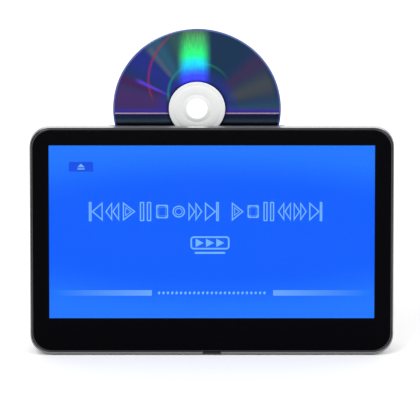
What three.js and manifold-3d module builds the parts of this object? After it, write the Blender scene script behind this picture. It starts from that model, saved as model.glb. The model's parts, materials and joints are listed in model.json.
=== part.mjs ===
// Portable disc player: a flat, upright case with a display behind a one-piece front lens, and a disc drive
// behind the display. Millimetres. +X is the viewer's right, -Y is the front, +Z is up. The origin is below the
// middle of the case, at the level that the feet stand on. "Depth" counts from the face of the lens rearwards.

import * as THREE from 'three';
import { mergeVertices } from 'three/addons/utils/BufferGeometryUtils.js';
import Module from 'manifold-3d';

const wasm = await Module();
wasm.setup();

// ---------- Driving dimensions ----------

const gap = 0.3; // clearance between neighbouring pieces
const wall = 2; // case wall

// Display and the borders around it
const displayWidth = 234.4;
const displayHeight = 131.8;
const borderSide = 12;
const borderTop = 12.6;
const borderBottom = 25;
const lensThickness = 1.8;
const lensCorner = 13.5;

// Silver frame: how far its lip shows outside the lens, and how deep its band is
const lipSide = 1.1;
const lipTop = 0.7;
const lipBottom = 1.8;
const bandDepth = 3.3;
const lipSetback = 0.3;
const skirtDepth = 3;
const skirtThickness = 1.4;

// Case
const bodyDepth = 30;
const topSlope = Math.tan(THREE.MathUtils.degToRad(16.7));
const rearEdgeRadius = 5;
const footHeight = 1;

// Disc and its place in the case
const discDiameter = 120;
const discHole = 15;
const discThickness = 1.2;
const discFrontDepth = 17.4;
const discOffsetX = -10.6;
const discRaised = 8.6; // centre of the half-ejected disc above the top of the frame

// Disc slot
const slotSideRoom = 1;
const slotFaceRoom = 1.1;
const feltThickness = 1.3;
const bezelWall = 1.2;
const bezelHeight = 4;

// Loading roller and its gears
const rollerRadius = 3.2;
const rollerWaist = 2.7;
const rollerShaftRadius = 1;
const gearModule = 0.5;
const gearWidth = 2.5;
const rollerTeeth = 16;
const idlerTeeth = 24;
const pinionTeeth = 10;
const gearBacklash = 0.15;
const earRoom = 6; // between the end of the roller's span and the ears that carry it
const earThickness = 2;
const loadingMotorRadius = 6;
const loadingMotorLength = 17;
const loadingShaftRadius = 0.5;
const gearAxleRadius = 1;

// Rubber dampers that carry the drive chassis
const damperRadius = 4;

// Optical traverse
const liftTravel = 2.8;
const camTravel = 8;
const traverseThickness = 2.4;
const spindleMotorRadius = 13;
const turntableRadius = 15;
const hubRadius = 7.2;
const guideRodRadius = 1.2;
const leadScrewRadius = 1.2;
const sledMotorRadius = 2.6;
const lensInnerRadius = 24; // innermost place of the objective lens, from the spindle
const sledTravel = 34.5;

// Kickstand
const standWidth = 95;
const standHeight = 65;
const standThickness = 2.4;
const standBarrelRadius = 1.7;
const standPinRadius = 0.8;
const standRecessDepth = 3.9;
const fingerNotch = 9; // half the width of the notch below the stand, and its height

// Case screws: they enter from the rear and end in posts behind the front frame
const screwShankRadius = 0.6;
const screwHeadRadius = 2.2;
const screwHeadHeight = 1.6;
const screwShankLength = 11.7;
const screwWellDepth = 8;
const screwWellRadius = 2.6;
const screwPilotRadius = 0.9;
const screwPilotDepth = 10;
const frontPostRadius = 2.2;
const frontPostEnd = 18;
const coverPostRadius = 3.8;

// Keys and power slider
const keyNames = ['volume_down_key', 'volume_up_key', 'play_key', 'eject_key'];
const keyPitch = 15;
const keyLength = 10;
const keyWidth = 5.2;
const keyRecess = 1;
const keyFlange = 0.8;
const keyTravel = 0.6;
const powerTravel = 4;

// Boards, battery and openings in the rear cover
const boardThickness = 1.6;
const boardFront = 12;
const chipSide = 16;
const ribbonWidth = 20;
const ribbonThickness = 0.3;
const speakerWidth = 34;
const speakerDepth = 11;
const grilleSlots = 6;
const grillePitch = 5;
const ventSlots = 8;
const ventPitch = 4;

// ---------- Derived levels ----------

const floorZ = footHeight;
const lensWidth = displayWidth + 2 * borderSide;
const lensBottom = floorZ + lipBottom;
const lensTop = lensBottom + borderBottom + displayHeight + borderTop;
const bodyWidth = lensWidth + 2 * lipSide;
const bodyTop = lensTop + lipTop;
const bodyCorner = lensCorner + lipSide;
const displayBottom = lensBottom + borderBottom;
const innerSide = bodyWidth / 2 - wall;
const discRadius = discDiameter / 2;
const discRearDepth = discFrontDepth + discThickness;
const discZ = bodyTop + discRaised;

const depthToY = (depth) => depth - bodyDepth / 2;
const topAt = (depth) => bodyTop - Math.max(0, depth - bandDepth) * topSlope;

// ---------- Geometry helpers ----------

// Turns a closed geometry into a manifold-3d solid, with its faces pointing out.
function solid(geometry) {
  const bare = new THREE.BufferGeometry();
  bare.setAttribute('position', geometry.getAttribute('position').clone());
  if (geometry.index) bare.setIndex(geometry.index.clone());
  const merged = mergeVertices(bare, 1e-4);
  const position = merged.getAttribute('position');
  const index = Array.from(merged.index.array);
  const corners = [new THREE.Vector3(), new THREE.Vector3(), new THREE.Vector3()];
  const triangles = [];
  let volume = 0;
  for (let i = 0; i < index.length; i += 3) {
    const [a, b, c] = index.slice(i, i + 3);
    if (a === b || b === c || a === c) continue;
    [a, b, c].forEach((vertex, k) => corners[k].fromBufferAttribute(position, vertex));
    volume += corners[0].dot(corners[1].clone().cross(corners[2]));
    triangles.push(a, b, c);
  }
  if (volume < 0) triangles.reverse();
  return new wasm.Manifold(
    new wasm.Mesh({
      numProp: 3,
      vertProperties: new Float32Array(position.array),
      triVerts: new Uint32Array(triangles),
    }),
  );
}

// Turns a manifold-3d solid back into a three.js geometry.
function geometryOf(manifold) {
  const { numProp, vertProperties, triVerts } = manifold.getMesh();
  const positions = new Float32Array((vertProperties.length / numProp) * 3);
  for (let i = 0; i < positions.length / 3; i += 1) {
    positions.set(vertProperties.subarray(i * numProp, i * numProp + 3), i * 3);
  }
  const geometry = new THREE.BufferGeometry();
  geometry.setAttribute('position', new THREE.BufferAttribute(positions, 3));
  geometry.setIndex(new THREE.BufferAttribute(new Uint32Array(triVerts), 1));
  geometry.computeVertexNormals();
  return geometry;
}

const around = (middle, half) => [middle - half, middle + half];
const joined = (first, ...rest) => rest.reduce((sum, next) => sum.add(next), first);
const cut = (base, ...tools) => tools.reduce((left, tool) => left.subtract(tool), base);

// A box between two depths, given by its X and Z limits.
function block([x0, x1], [depth0, depth1], [z0, z1]) {
  const geometry = new THREE.BoxGeometry(x1 - x0, depth1 - depth0, z1 - z0);
  geometry.translate((x0 + x1) / 2, depthToY((depth0 + depth1) / 2), (z0 + z1) / 2);
  return solid(geometry);
}

// Puts a shape that was made round or along +Y on another axis, at a place given as [x, depth, z].
function aligned(geometry, axis, [x, depth, z]) {
  if (axis === 'x') geometry.rotateZ(-Math.PI / 2);
  if (axis === 'z') geometry.rotateX(Math.PI / 2);
  geometry.translate(x, depthToY(depth), z);
  return solid(geometry);
}

// A round bar that starts at a place and runs a length along an axis.
function bar(axis, radius, length, start, sides = 24) {
  const geometry = new THREE.CylinderGeometry(radius, radius, length, sides);
  geometry.translate(0, length / 2, 0);
  return aligned(geometry, axis, start);
}

// A turned piece: its profile lists [radius, height] pairs, and the heights run along the axis.
function turned(axis, profile, start, sides = 48) {
  const points = profile.map(([radius, height]) => new THREE.Vector2(radius, height));
  return aligned(new THREE.LatheGeometry(points, sides), axis, start);
}

// A turned ring with a bore: the inner wall closes the outer profile.
function ring(axis, bore, outer, start, sides = 48) {
  const first = outer[0];
  const last = outer[outer.length - 1];
  return turned(axis, [[bore, first[1]], ...outer, [bore, last[1]], [bore, first[1]]], start, sides);
}

// The points of a rounded rectangle, counter-clockwise from the right side, with the same count for any size.
function roundedRing(left, right, bottom, top, radius, steps = 8) {
  const centres = [
    [right - radius, top - radius],
    [left + radius, top - radius],
    [left + radius, bottom + radius],
    [right - radius, bottom + radius],
  ];
  return centres.flatMap(([x, z], quarter) =>
    Array.from({ length: steps + 1 }, (_, step) => {
      const angle = ((quarter + step / steps) * Math.PI) / 2;
      return new THREE.Vector2(x + radius * Math.cos(angle), z + radius * Math.sin(angle));
    }),
  );
}

// A plate of the given outline between two depths.
function plate(outline, [depth0, depth1]) {
  const geometry = new THREE.ExtrudeGeometry(new THREE.Shape(outline), {
    depth: depth1 - depth0,
    bevelEnabled: false,
  });
  geometry.rotateX(Math.PI / 2);
  geometry.translate(0, depthToY(depth1), 0);
  return solid(geometry);
}

// A shape drawn in Y and Z, run along +X from a place given as [x, depth, z].
function alongX(shape, length, [x, depth, z]) {
  const settings = { depth: length, bevelEnabled: false, curveSegments: 12 };
  const geometry = new THREE.ExtrudeGeometry(shape, settings);
  const [xAxis, yAxis, zAxis] = [[1, 0, 0], [0, 1, 0], [0, 0, 1]].map((axis) => new THREE.Vector3(...axis));
  geometry.applyMatrix4(new THREE.Matrix4().makeBasis(yAxis, zAxis, xAxis));
  geometry.translate(x, depthToY(depth), z);
  return solid(geometry);
}

// A closed skin over convex sections, each given as { depth, outline }, all with the same number of points.
function lofted(sections) {
  const count = sections[0].outline.length;
  const positions = sections.flatMap(({ depth, outline }) =>
    outline.flatMap((point) => [point.x, depthToY(depth), point.y]),
  );
  const triangles = [];
  for (let s = 0; s + 1 < sections.length; s += 1) {
    for (let i = 0; i < count; i += 1) {
      const here = s * count + i;
      const next = s * count + ((i + 1) % count);
      triangles.push(here, next, here + count, next, next + count, here + count);
    }
  }
  const last = (sections.length - 1) * count;
  for (let i = 1; i + 1 < count; i += 1) {
    triangles.push(0, i + 1, i, last, last + i, last + i + 1);
  }
  const geometry = new THREE.BufferGeometry();
  geometry.setAttribute('position', new THREE.Float32BufferAttribute(positions, 3));
  geometry.setIndex(triangles);
  return solid(geometry);
}

// The outline of the case at a depth, drawn in by an inset.
function caseOutline(depth, inset) {
  return roundedRing(
    -bodyWidth / 2 + inset,
    bodyWidth / 2 - inset,
    floorZ + inset,
    topAt(depth) - inset,
    Math.max(bodyCorner - inset, 1),
  );
}

// The case as a solid between two depths, drawn in by an inset, with its rear edges rounded over.
function caseSolid(depth0, depth1, inset, edgeRadius) {
  const steps = 4;
  const straightEnd = depth1 - edgeRadius;
  const sections = [{ depth: depth0, outline: caseOutline(depth0, inset) }];
  if (depth0 < bandDepth && bandDepth < straightEnd) {
    sections.push({ depth: bandDepth, outline: caseOutline(bandDepth, inset) });
  }
  for (let step = 0; step <= steps && edgeRadius > 0; step += 1) {
    const angle = ((step / steps) * Math.PI) / 2;
    const depth = straightEnd + edgeRadius * Math.sin(angle);
    const roundedIn = edgeRadius * (1 - Math.cos(angle));
    sections.push({ depth, outline: caseOutline(depth, inset + roundedIn) });
  }
  if (edgeRadius === 0) sections.push({ depth: depth1, outline: caseOutline(depth1, inset) });
  return lofted(sections);
}

const tipRadius = (teeth) => (teeth / 2 + 0.85) * gearModule;

// A spur gear round the X axis with straight flanks. Its first tooth is at the phase angle, from +Y to +Z.
function gear(teeth, phase, bore, x, centre) {
  const pitchRadius = (gearModule * teeth) / 2;
  const tip = tipRadius(teeth);
  const root = pitchRadius - 1.2 * gearModule;
  const pitch = (2 * Math.PI) / teeth;
  const flanks = [
    [root, -0.32],
    [tip, -0.12],
    [tip, 0.12],
    [root, 0.32],
  ];
  const outline = [];
  for (let tooth = 0; tooth < teeth; tooth += 1) {
    for (const [radius, share] of flanks) {
      const angle = phase + (tooth + share) * pitch;
      outline.push(new THREE.Vector2(radius * Math.cos(angle), radius * Math.sin(angle)));
    }
  }
  const shape = new THREE.Shape(outline);
  shape.holes.push(new THREE.Path().absarc(0, 0, bore, 0, 2 * Math.PI, true));
  return alongX(shape, gearWidth, [x, centre.depth, centre.z]);
}

// The phase that puts a driven gear in mesh with another that lies in a direction from it.
function meshPhase(teeth, phase, direction, drivenTeeth) {
  const turns = ((direction - phase) * teeth) / (2 * Math.PI);
  const share = turns - Math.floor(turns);
  return direction + Math.PI - ((0.5 - share) * 2 * Math.PI) / drivenTeeth;
}

// ---------- Materials ----------

const finish = (color, roughness, metalness) => new THREE.MeshStandardMaterial({ color, roughness, metalness });
const silverPaint = finish(0xc4c6ca, 0.35, 0.6);
const blackLens = finish(0x0c0d10, 0.05, 0);
const smokedPlastic = finish(0x14100f, 0.15, 0);
const darkFoam = finish(0x202022, 0.9, 0);
const blackPlastic = finish(0x1b1c1f, 0.5, 0);
const blackRubber = finish(0x161616, 0.85, 0);
const felt = finish(0x2a2a2c, 0.95, 0);
const steel = finish(0xa8abb0, 0.3, 1);
const sheetMetal = finish(0xb9bcc0, 0.4, 1);
const displayGlass = finish(0x2a66f0, 0.1, 0);
const lightGuide = finish(0xe8eef5, 0.3, 0);
const ribbonFilm = finish(0xb98a3a, 0.5, 0);
const boardGreen = finish(0x1d5a37, 0.6, 0);
const chipBlack = finish(0x15161a, 0.45, 0);
const batteryWrap = finish(0x2c3a52, 0.5, 0);
const whitePlastic = finish(0xe6e6e2, 0.45, 0);
const discMetal = finish(0x2b2f5a, 0.12, 0.8);
const opticGlass = finish(0x9cc4d8, 0.05, 0);

// ---------- Pieces ----------

const player = new THREE.Group();

function add(name, manifold, material) {
  const mesh = new THREE.Mesh(geometryOf(manifold), material);
  mesh.name = name;
  player.add(mesh);
}

const through = [-1, bodyDepth + 1];

// Display module: a metal tray holds the backlight and the panel, seen through a window in the frame's flange.
const panelMargin = 2;
const trayMarginSide = 5;
const trayMarginTop = 4.5;
const trayMarginBottom = 8;
const trayWall = 0.8;
const trayX = displayWidth / 2 + trayMarginSide;
const trayZ = [displayBottom - trayMarginBottom, displayBottom + displayHeight + trayMarginTop];
const trayFront = lensThickness + gap;
const trayDepth = 5.3;
const trayRear = trayFront + trayDepth;
const panelThickness = 1.2;

function buildDisplay() {
  const tray = cut(
    block([-trayX, trayX], [trayFront, trayRear], trayZ),
    block(
      [-trayX + trayWall, trayX - trayWall],
      [-1, trayRear - trayWall],
      [trayZ[0] + trayWall, trayZ[1] - trayWall],
    ),
  );
  const panelX = displayWidth / 2 + panelMargin;
  const panelZ = [displayBottom - panelMargin, displayBottom + displayHeight + panelMargin];
  const panelRear = trayFront + panelThickness;
  add('lcd_frame', tray, sheetMetal);
  add('lcd_panel', block([-panelX, panelX], [trayFront, panelRear], panelZ), displayGlass);
  const lightDepths = [panelRear + gap, trayRear - trayWall - gap];
  add('lcd_backlight', block([-panelX, panelX], lightDepths, panelZ), lightGuide);
}

// Front lens, the frame round it, the gasket between them and the infra-red window in the frame's lower lip.
const flangeFront = lensThickness + 2 * gap + 0.4;
const flangeThickness = 1.5;
const flangeRear = flangeFront + flangeThickness;
const irWidth = 12.8;
const screwX = innerSide - 2.85;
const screwZ = [floorZ + 13, topAt(bodyDepth) - 15];

function buildFront() {
  const lensX = lensWidth / 2;
  const lens = plate(roundedRing(-lensX, lensX, lensBottom, lensTop, lensCorner), [0, lensThickness]);
  const pocket = plate(
    roundedRing(-lensX - gap, lensX + gap, lensBottom - gap, lensTop + gap, lensCorner + gap),
    [-1, flangeFront],
  );
  const windowX = trayX + gap;
  const window = (inset) =>
    block([-windowX - inset, windowX + inset], through, [trayZ[0] - gap - inset, trayZ[1] + gap + inset]);
  const band = caseSolid(lipSetback, bandDepth, 0, 0);
  const skirtInset = wall + gap;
  const skirtEnd = bandDepth + gap + skirtDepth;
  const skirt = caseSolid(bandDepth - 1, skirtEnd, skirtInset, 0);
  const hollow = caseSolid(flangeRear, skirtEnd + 1, skirtInset + skirtThickness, 0);
  const irCut = block(
    [-irWidth / 2 - gap, irWidth / 2 + gap],
    [-1, bandDepth + gap],
    [floorZ - 1, lensBottom - gap],
  );
  let frame = joined(band, skirt);
  frame = cut(frame, pocket, window(0), hollow, irCut);
  for (const x of [-screwX, screwX]) {
    for (const z of screwZ) {
      const postFront = flangeRear - 0.2;
      const pilotFront = frontPostEnd - screwPilotDepth;
      frame = joined(frame, bar('y', frontPostRadius, frontPostEnd - postFront, [x, postFront, z], 16));
      frame = cut(frame, bar('y', screwPilotRadius, screwPilotDepth + 1, [x, pilotFront, z], 12));
    }
  }
  add('front_frame', frame, silverPaint);
  add('front_lens', lens, blackLens);
  const gasketOuter = plate(
    roundedRing(-lensX + 1, lensX - 1, lensBottom + 1, lensTop - 1, lensCorner - 1),
    [lensThickness + gap, flangeFront - gap],
  );
  add('lens_gasket', cut(gasketOuter, window(0.5)), darkFoam);
  add(
    'ir_window',
    block([-irWidth / 2, irWidth / 2], [lipSetback, bandDepth], [floorZ, lensBottom - 2 * gap]),
    smokedPlastic,
  );
}

// Disc slot in the sloping top: a bezel with felt lips on both sides of the disc.
const slotX = [discOffsetX - discRadius - slotSideRoom, discOffsetX + discRadius + slotSideRoom];
const slotDepths = [discFrontDepth - slotFaceRoom, discRearDepth + slotFaceRoom];
const bezelInner = [slotDepths[0] - feltThickness - gap, slotDepths[1] + feltThickness + gap];
const bezelOuter = [bezelInner[0] - bezelWall, bezelInner[1] + bezelWall];
const bezelX = [slotX[0] - bezelWall, slotX[1] + bezelWall];
const bezelBottom = topAt(bezelOuter[1]) - bezelHeight + 1;
const feltTop = topAt(bezelInner[1]) - 0.8;

function buildSlot(outerCase) {
  const above = bodyTop + 1;
  const bezelBlock = block(bezelX, bezelOuter, [bezelBottom, above]);
  const bezel = cut(bezelBlock.intersect(outerCase), block(slotX, bezelInner, [bezelBottom - 1, above]));
  const lipX = [slotX[0] + gap, slotX[1] - gap];
  const lipFront = [slotDepths[0] - feltThickness, slotDepths[0]];
  const lipRear = [slotDepths[1], slotDepths[1] + feltThickness];
  add('slot_bezel', bezel, blackPlastic);
  add('slot_felt_front', block(lipX, lipFront, [bezelBottom, feltTop]), felt);
  add('slot_felt_rear', block(lipX, lipRear, [bezelBottom, feltTop]), felt);
}

// Drive levels that the rear cover and the drive share.
const chassisFront = trayRear + 0.5;
const chassisRear = chassisFront + 0.8;
const rollerZ = bezelBottom - rollerRadius - 0.8;
const rollerDepth = discFrontDepth - gap - rollerRadius;
const spindleZ = rollerZ - discRadius - 4;
const rightEar = discOffsetX + discRadius + earRoom;
const leftEar = discOffsetX - discRadius - earRoom - earThickness;
const gearX = rightEar + earThickness + 0.8;
const loadingMotorX = gearX + gearWidth + 1.3;
const pickupX = [discOffsetX + lensInnerRadius - 7.8, discOffsetX + lensInnerRadius + 14.2];
const windowX = [discOffsetX + turntableRadius + 0.4, pickupX[1] + sledTravel + 0.6];
const traverseRight = windowX[1] + 4;
const driveX = [
  leftEar - 9.4,
  Math.max(loadingMotorX + loadingMotorLength + 1.2, traverseRight + gap + 2 * damperRadius + 2),
];
const damperRear = chassisRear + gap + 4;
const damperInset = damperRadius + 2;
const boardZ = [floorZ + 24, rollerZ - 8];
const damperPlaces = [
  [driveX[0] + damperInset, floorZ + 25],
  [driveX[0] + damperInset, rollerZ - 10],
  [driveX[1] - damperInset, floorZ + 25],
  [driveX[1] - damperInset, spindleZ + 20],
];

// Kickstand levels that the rear cover and the stand share.
const standTopZ = spindleZ + 1;
const standBottomZ = standTopZ - standHeight;
const recessFloor = bodyDepth - standRecessDepth;
const standAxisDepth = recessFloor + gap + 0.1 + standBarrelRadius;
const standPinX = standWidth / 2 + 3;

// Side controls
const keyDepth = 17;
const keyFirstZ = floorZ + 65;
const keyZ = keyNames.map((_, i) => keyFirstZ + i * keyPitch);
const controlPocketHalf = keyWidth / 2 + 1.4;
const powerZ = floorZ + 35;
const powerLength = 5;
const powerWidth = 3;

// Ports on the left side, each with its middle height, size along Z and size along the depth.
const boardRear = boardFront + boardThickness;
const portFront = boardRear + gap;
const ports = {
  dc_jack: { z: floorZ + 39, height: 9, depth: 9 },
  usb_port: { z: floorZ + 61, height: 13.6, depth: 6.2 },
  card_socket: { z: floorZ + 90, height: 27, depth: 4 },
  headphone_jack: { z: floorZ + 117, height: 7, depth: 7 },
};
const portLength = 13;
const portOutside = -bodyWidth / 2 + 0.2;

// Feet
const footLength = 32;
const footX = bodyWidth / 2 - 22 - footLength / 2;
const footDepths = [6, bodyDepth - 5];
const footRecess = 1;

const speakerX = bodyWidth / 2 - 11 - speakerWidth / 2;
const speakerZ = [floorZ + 6, floorZ + 20];

// Rear cover: the shell with every opening, post and recess that other pieces need.
function coverPosts(outerCase) {
  const posts = damperPlaces.map(([x, z]) =>
    bar('y', 3, bodyDepth - wall / 2 - damperRear - gap, [x, damperRear + gap, z], 16),
  );
  for (const x of [-screwX, screwX]) {
    for (const z of screwZ) {
      const start = frontPostEnd + gap;
      posts.push(bar('y', coverPostRadius, bodyDepth - start, [x, start, z], 20).intersect(outerCase));
    }
  }
  return posts;
}

function coverOpenings() {
  const tools = [];
  for (const x of [-screwX, screwX]) {
    for (const z of screwZ) {
      tools.push(bar('y', 1.3, bodyDepth, [x, frontPostEnd - 1, z], 14));
      tools.push(bar('y', screwWellRadius, bodyDepth, [x, bodyDepth - screwWellDepth, z], 20));
    }
  }
  tools.push(
    block(
      [bezelX[0] - gap, bezelX[1] + gap],
      [bezelOuter[0] - gap, bezelOuter[1] + gap],
      [bezelBottom - 2, bodyTop + 2],
    ),
  );
  for (const port of Object.values(ports)) {
    tools.push(
      block(
        [-bodyWidth / 2 - 1, -innerSide + 1],
        [portFront - gap, portFront + port.depth + gap],
        [port.z - port.height / 2 - gap, port.z + port.height / 2 + gap],
      ),
    );
  }
  const side = bodyWidth / 2;
  const pocketDepths = around(keyDepth, controlPocketHalf);
  const pocketX = [side - keyRecess, side + 1];
  const keyPocketZ = [keyZ[0] - keyLength / 2 - 2, keyZ[keyZ.length - 1] + keyLength / 2 + 2];
  const powerPocketZ = [powerZ - powerLength, powerZ + powerLength + powerTravel];
  tools.push(block(pocketX, pocketDepths, keyPocketZ), block(pocketX, pocketDepths, powerPocketZ));
  for (const z of keyZ) {
    tools.push(
      block(
        [innerSide - 1, side],
        [keyDepth - keyWidth / 2 - gap, keyDepth + keyWidth / 2 + gap],
        [z - keyLength / 2 - gap, z + keyLength / 2 + gap],
      ),
    );
  }
  tools.push(
    block(
      [innerSide - 1, side],
      [keyDepth - powerWidth / 2 - gap, keyDepth + powerWidth / 2 + gap],
      [powerZ - powerLength / 2 - gap, powerZ + powerLength / 2 + powerTravel + gap],
    ),
  );
  for (const x of [-footX, footX]) {
    tools.push(
      block(
        [x - footLength / 2 - gap, x + footLength / 2 + gap],
        [footDepths[0] - gap, footDepths[1] + gap],
        [floorZ - 1, floorZ + footRecess],
      ),
    );
  }
  const rearWall = [bodyDepth - wall - 1, bodyDepth + 1];
  for (const sign of [-1, 1]) {
    for (let i = 0; i < grilleSlots; i += 1) {
      const x = sign * speakerX + (i - (grilleSlots - 1) / 2) * grillePitch;
      tools.push(block([x - 1, x + 1], rearWall, [speakerZ[0] + 2, speakerZ[1] - 2]));
    }
  }
  for (let i = 0; i < ventSlots; i += 1) {
    const x = -innerSide + 12 + i * ventPitch;
    tools.push(block([x - 0.8, x + 0.8], rearWall, [spindleZ + 24, spindleZ + 44]));
  }
  return tools;
}

function buildCover(outerCase) {
  const hollow = caseSolid(bandDepth - 1, bodyDepth - wall, wall, rearEdgeRadius - wall);
  const recessSide = standWidth / 2 + gap;
  const recessTop = standTopZ + standBarrelRadius + gap + 0.1;
  const recessBottom = standBottomZ - gap;
  const recessWall = 3;
  let cover = cut(outerCase, hollow);
  const recessBlock = block(
    [-recessSide - recessWall, recessSide + recessWall],
    [recessFloor - wall, bodyDepth - wall / 2],
    [recessBottom - recessWall - fingerNotch, recessTop + recessWall],
  );
  cover = joined(cover, recessBlock, ...coverPosts(outerCase));
  const recess = block([-recessSide, recessSide], [recessFloor, bodyDepth + 1], [recessBottom, recessTop]);
  const notch = block(
    [-fingerNotch, fingerNotch],
    [recessFloor, bodyDepth + 1],
    [recessBottom - fingerNotch, recessBottom + 1],
  );
  const pinHoleEnd = standPinX + gap;
  const pinHole = bar('x', standPinRadius + gap, 2 * pinHoleEnd, [-pinHoleEnd, standAxisDepth, standTopZ]);
  cover = cut(cover, recess, notch, pinHole, ...coverOpenings());
  add('rear_cover', cover, silverPaint);
}

function buildKickstand() {
  const half = standWidth / 2;
  const leafDepths = [bodyDepth - 0.2 - standThickness, bodyDepth - 0.2];
  const leaf = block([-half, half], leafDepths, [standBottomZ, standTopZ]);
  const barrel = bar('x', standBarrelRadius, standWidth, [-half, standAxisDepth, standTopZ]);
  const bore = bar('x', standPinRadius + gap, standWidth + 2, [-half - 1, standAxisDepth, standTopZ], 16);
  add('kickstand', cut(joined(leaf, barrel), bore), silverPaint);
  const pinStart = [-standPinX, standAxisDepth, standTopZ];
  add('kickstand_pin', bar('x', standPinRadius, 2 * standPinX, pinStart, 16), steel);
}

function buildFeetAndScrews() {
  [-1, 1].forEach((sign) => {
    const x = sign * footX;
    const pad = block([x - footLength / 2, x + footLength / 2], footDepths, [0, floorZ + footRecess - gap]);
    add(sign < 0 ? 'foot_left' : 'foot_right', pad, blackRubber);
  });
  const headFront = bodyDepth - screwWellDepth + gap;
  const shank = [
    [0, 0],
    [screwShankRadius, 0],
    [screwShankRadius, screwShankLength],
    [screwHeadRadius, screwShankLength],
    [screwHeadRadius, screwShankLength + screwHeadHeight],
    [0, screwShankLength + screwHeadHeight],
  ];
  let count = 0;
  for (const z of screwZ) {
    for (const x of [-screwX, screwX]) {
      count += 1;
      add(`case_screw_${count}`, turned('y', shank, [x, headFront - screwShankLength, z], 20), steel);
    }
  }
}

// Boards, battery, speakers and sockets.
function buildElectronics() {
  const boardX = [-innerSide + 6, driveX[0] - gap];
  add('main_board', block(boardX, [boardFront, boardRear], boardZ), boardGreen);
  const chipX = [boardX[1] - 2 - chipSide, boardX[1] - 2];
  const chipZ = around(spindleZ, chipSide / 2);
  add('main_processor', block(chipX, [portFront, portFront + 1.6], chipZ), chipBlack);

  const trayFace = trayRear + gap;
  const boardFace = boardFront - gap;
  const ribbonOutline = [
    [40, trayFace],
    [60, trayFace],
    [66, boardFace - ribbonThickness],
    [76, boardFace - ribbonThickness],
    [76, boardFace],
    [65.8, boardFace],
    [59.8, trayFace + ribbonThickness],
    [40, trayFace + ribbonThickness],
  ].map(([rise, depth]) => new THREE.Vector2(depth, rise));
  const ribbonStart = [boardX[0] + 6, 0, floorZ];
  add('lcd_ribbon', alongX(new THREE.Shape(ribbonOutline), ribbonWidth, ribbonStart), ribbonFilm);

  const batteryX = [driveX[1] + 2, screwX - coverPostRadius - gap];
  const batteryDepths = [chassisRear + 1, recessFloor - wall - gap];
  add('battery_pack', block(batteryX, batteryDepths, boardZ), batteryWrap);

  const speakerRear = bodyDepth - wall - gap;
  const speakerDepths = [speakerRear - speakerDepth, speakerRear];
  const middle = (speakerZ[0] + speakerZ[1]) / 2;
  const coneRadius = 5.5;
  const coneHeight = 3.5;
  const coneProfile = [
    [0, 0],
    [2, 0],
    [coneRadius, coneHeight],
    [coneRadius, coneHeight + 1],
    [0, coneHeight + 1],
  ];
  for (const sign of [-1, 1]) {
    const x = sign * speakerX;
    const box = block([x - speakerWidth / 2, x + speakerWidth / 2], speakerDepths, speakerZ);
    const cone = turned('y', coneProfile, [x, speakerDepths[1] - coneHeight, middle], 24);
    add(sign < 0 ? 'speaker_left' : 'speaker_right', cut(box, cone), blackPlastic);
  }
}

function buildPorts() {
  const socket = (name) => {
    const { z, height, depth } = ports[name];
    const body = block(
      [portOutside, portOutside + portLength],
      [portFront, portFront + depth],
      [z - height / 2, z + height / 2],
    );
    return { body, z, middle: portFront + depth / 2, height, depth };
  };
  const mouth = portOutside - 1;
  const dc = socket('dc_jack');
  const dcHole = bar('x', 3, 10, [mouth, dc.middle, dc.z]);
  const dcPin = bar('x', 0.8, 9.5, [portOutside + 1, dc.middle, dc.z], 12);
  add('dc_jack', joined(cut(dc.body, dcHole), dcPin), blackPlastic);

  const usb = socket('usb_port');
  const usbMouth = block([mouth, mouth + 11], around(usb.middle, 2.3), around(usb.z, 6.1));
  const tongueDepths = [usb.middle - 1.7, usb.middle - 0.1];
  const usbTongue = block([mouth + 2, mouth + 11.5], tongueDepths, around(usb.z, 5.4));
  add('usb_port', joined(cut(usb.body, usbMouth), usbTongue), sheetMetal);

  const card = socket('card_socket');
  const cardMouth = block([mouth, mouth + 12], around(card.middle, 1.2), around(card.z, 12.2));
  add('card_socket', cut(card.body, cardMouth), sheetMetal);

  const phones = socket('headphone_jack');
  const phonesBore = bar('x', 1.8, 12.5, [mouth, phones.middle, phones.z], 20);
  add('headphone_jack', cut(phones.body, phonesBore), blackPlastic);
}

// Keys with retaining flanges, the board with their switches, and the power slider with its switch.
function buildControls() {
  const side = bodyWidth / 2;
  const capFace = side - gap;
  const flangeOut = innerSide - gap;
  const flangeIn = flangeOut - keyFlange;
  keyNames.forEach((name, i) => {
    const z = keyZ[i];
    const cap = block(
      [flangeOut - 0.1, capFace],
      [keyDepth - keyWidth / 2, keyDepth + keyWidth / 2],
      [z - keyLength / 2, z + keyLength / 2],
    );
    const flange = block(
      [flangeIn, flangeOut],
      [keyDepth - keyWidth / 2 - 1, keyDepth + keyWidth / 2 + 1],
      [z - keyLength / 2 - 1, z + keyLength / 2 + 1],
    );
    add(name, joined(cap, flange), blackPlastic);
  });
  const switchTop = flangeIn - keyTravel - gap;
  const keyBoardX = [switchTop - 3.2, switchTop - 2];
  const keyBoardZ = [keyZ[0] - 9, keyZ[keyZ.length - 1] + 9];
  const switchHalf = 2.2;
  const switchDepths = around(keyDepth, switchHalf);
  let keyBoard = block(keyBoardX, around(keyDepth, 5), keyBoardZ);
  for (const z of keyZ) {
    const dome = block([keyBoardX[1] - 0.1, switchTop], switchDepths, around(z, switchHalf));
    keyBoard = joined(keyBoard, dome);
  }
  add('key_board', keyBoard, boardGreen);

  const knob = block(
    [flangeOut - 0.1, capFace],
    [keyDepth - powerWidth / 2, keyDepth + powerWidth / 2],
    [powerZ - powerLength / 2, powerZ + powerLength / 2],
  );
  const slide = block(
    [flangeIn, flangeOut],
    [keyDepth - powerWidth / 2 - 1, keyDepth + powerWidth / 2 + 1],
    [powerZ - powerLength / 2 - 4, powerZ + powerLength / 2 + 4],
  );
  add('power_slider', joined(knob, slide), blackPlastic);
  add(
    'power_switch_body',
    block([keyBoardX[0], flangeIn - gap], around(keyDepth, 4), [powerZ - 6, powerZ + 6 + powerTravel]),
    blackPlastic,
  );
}

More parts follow.
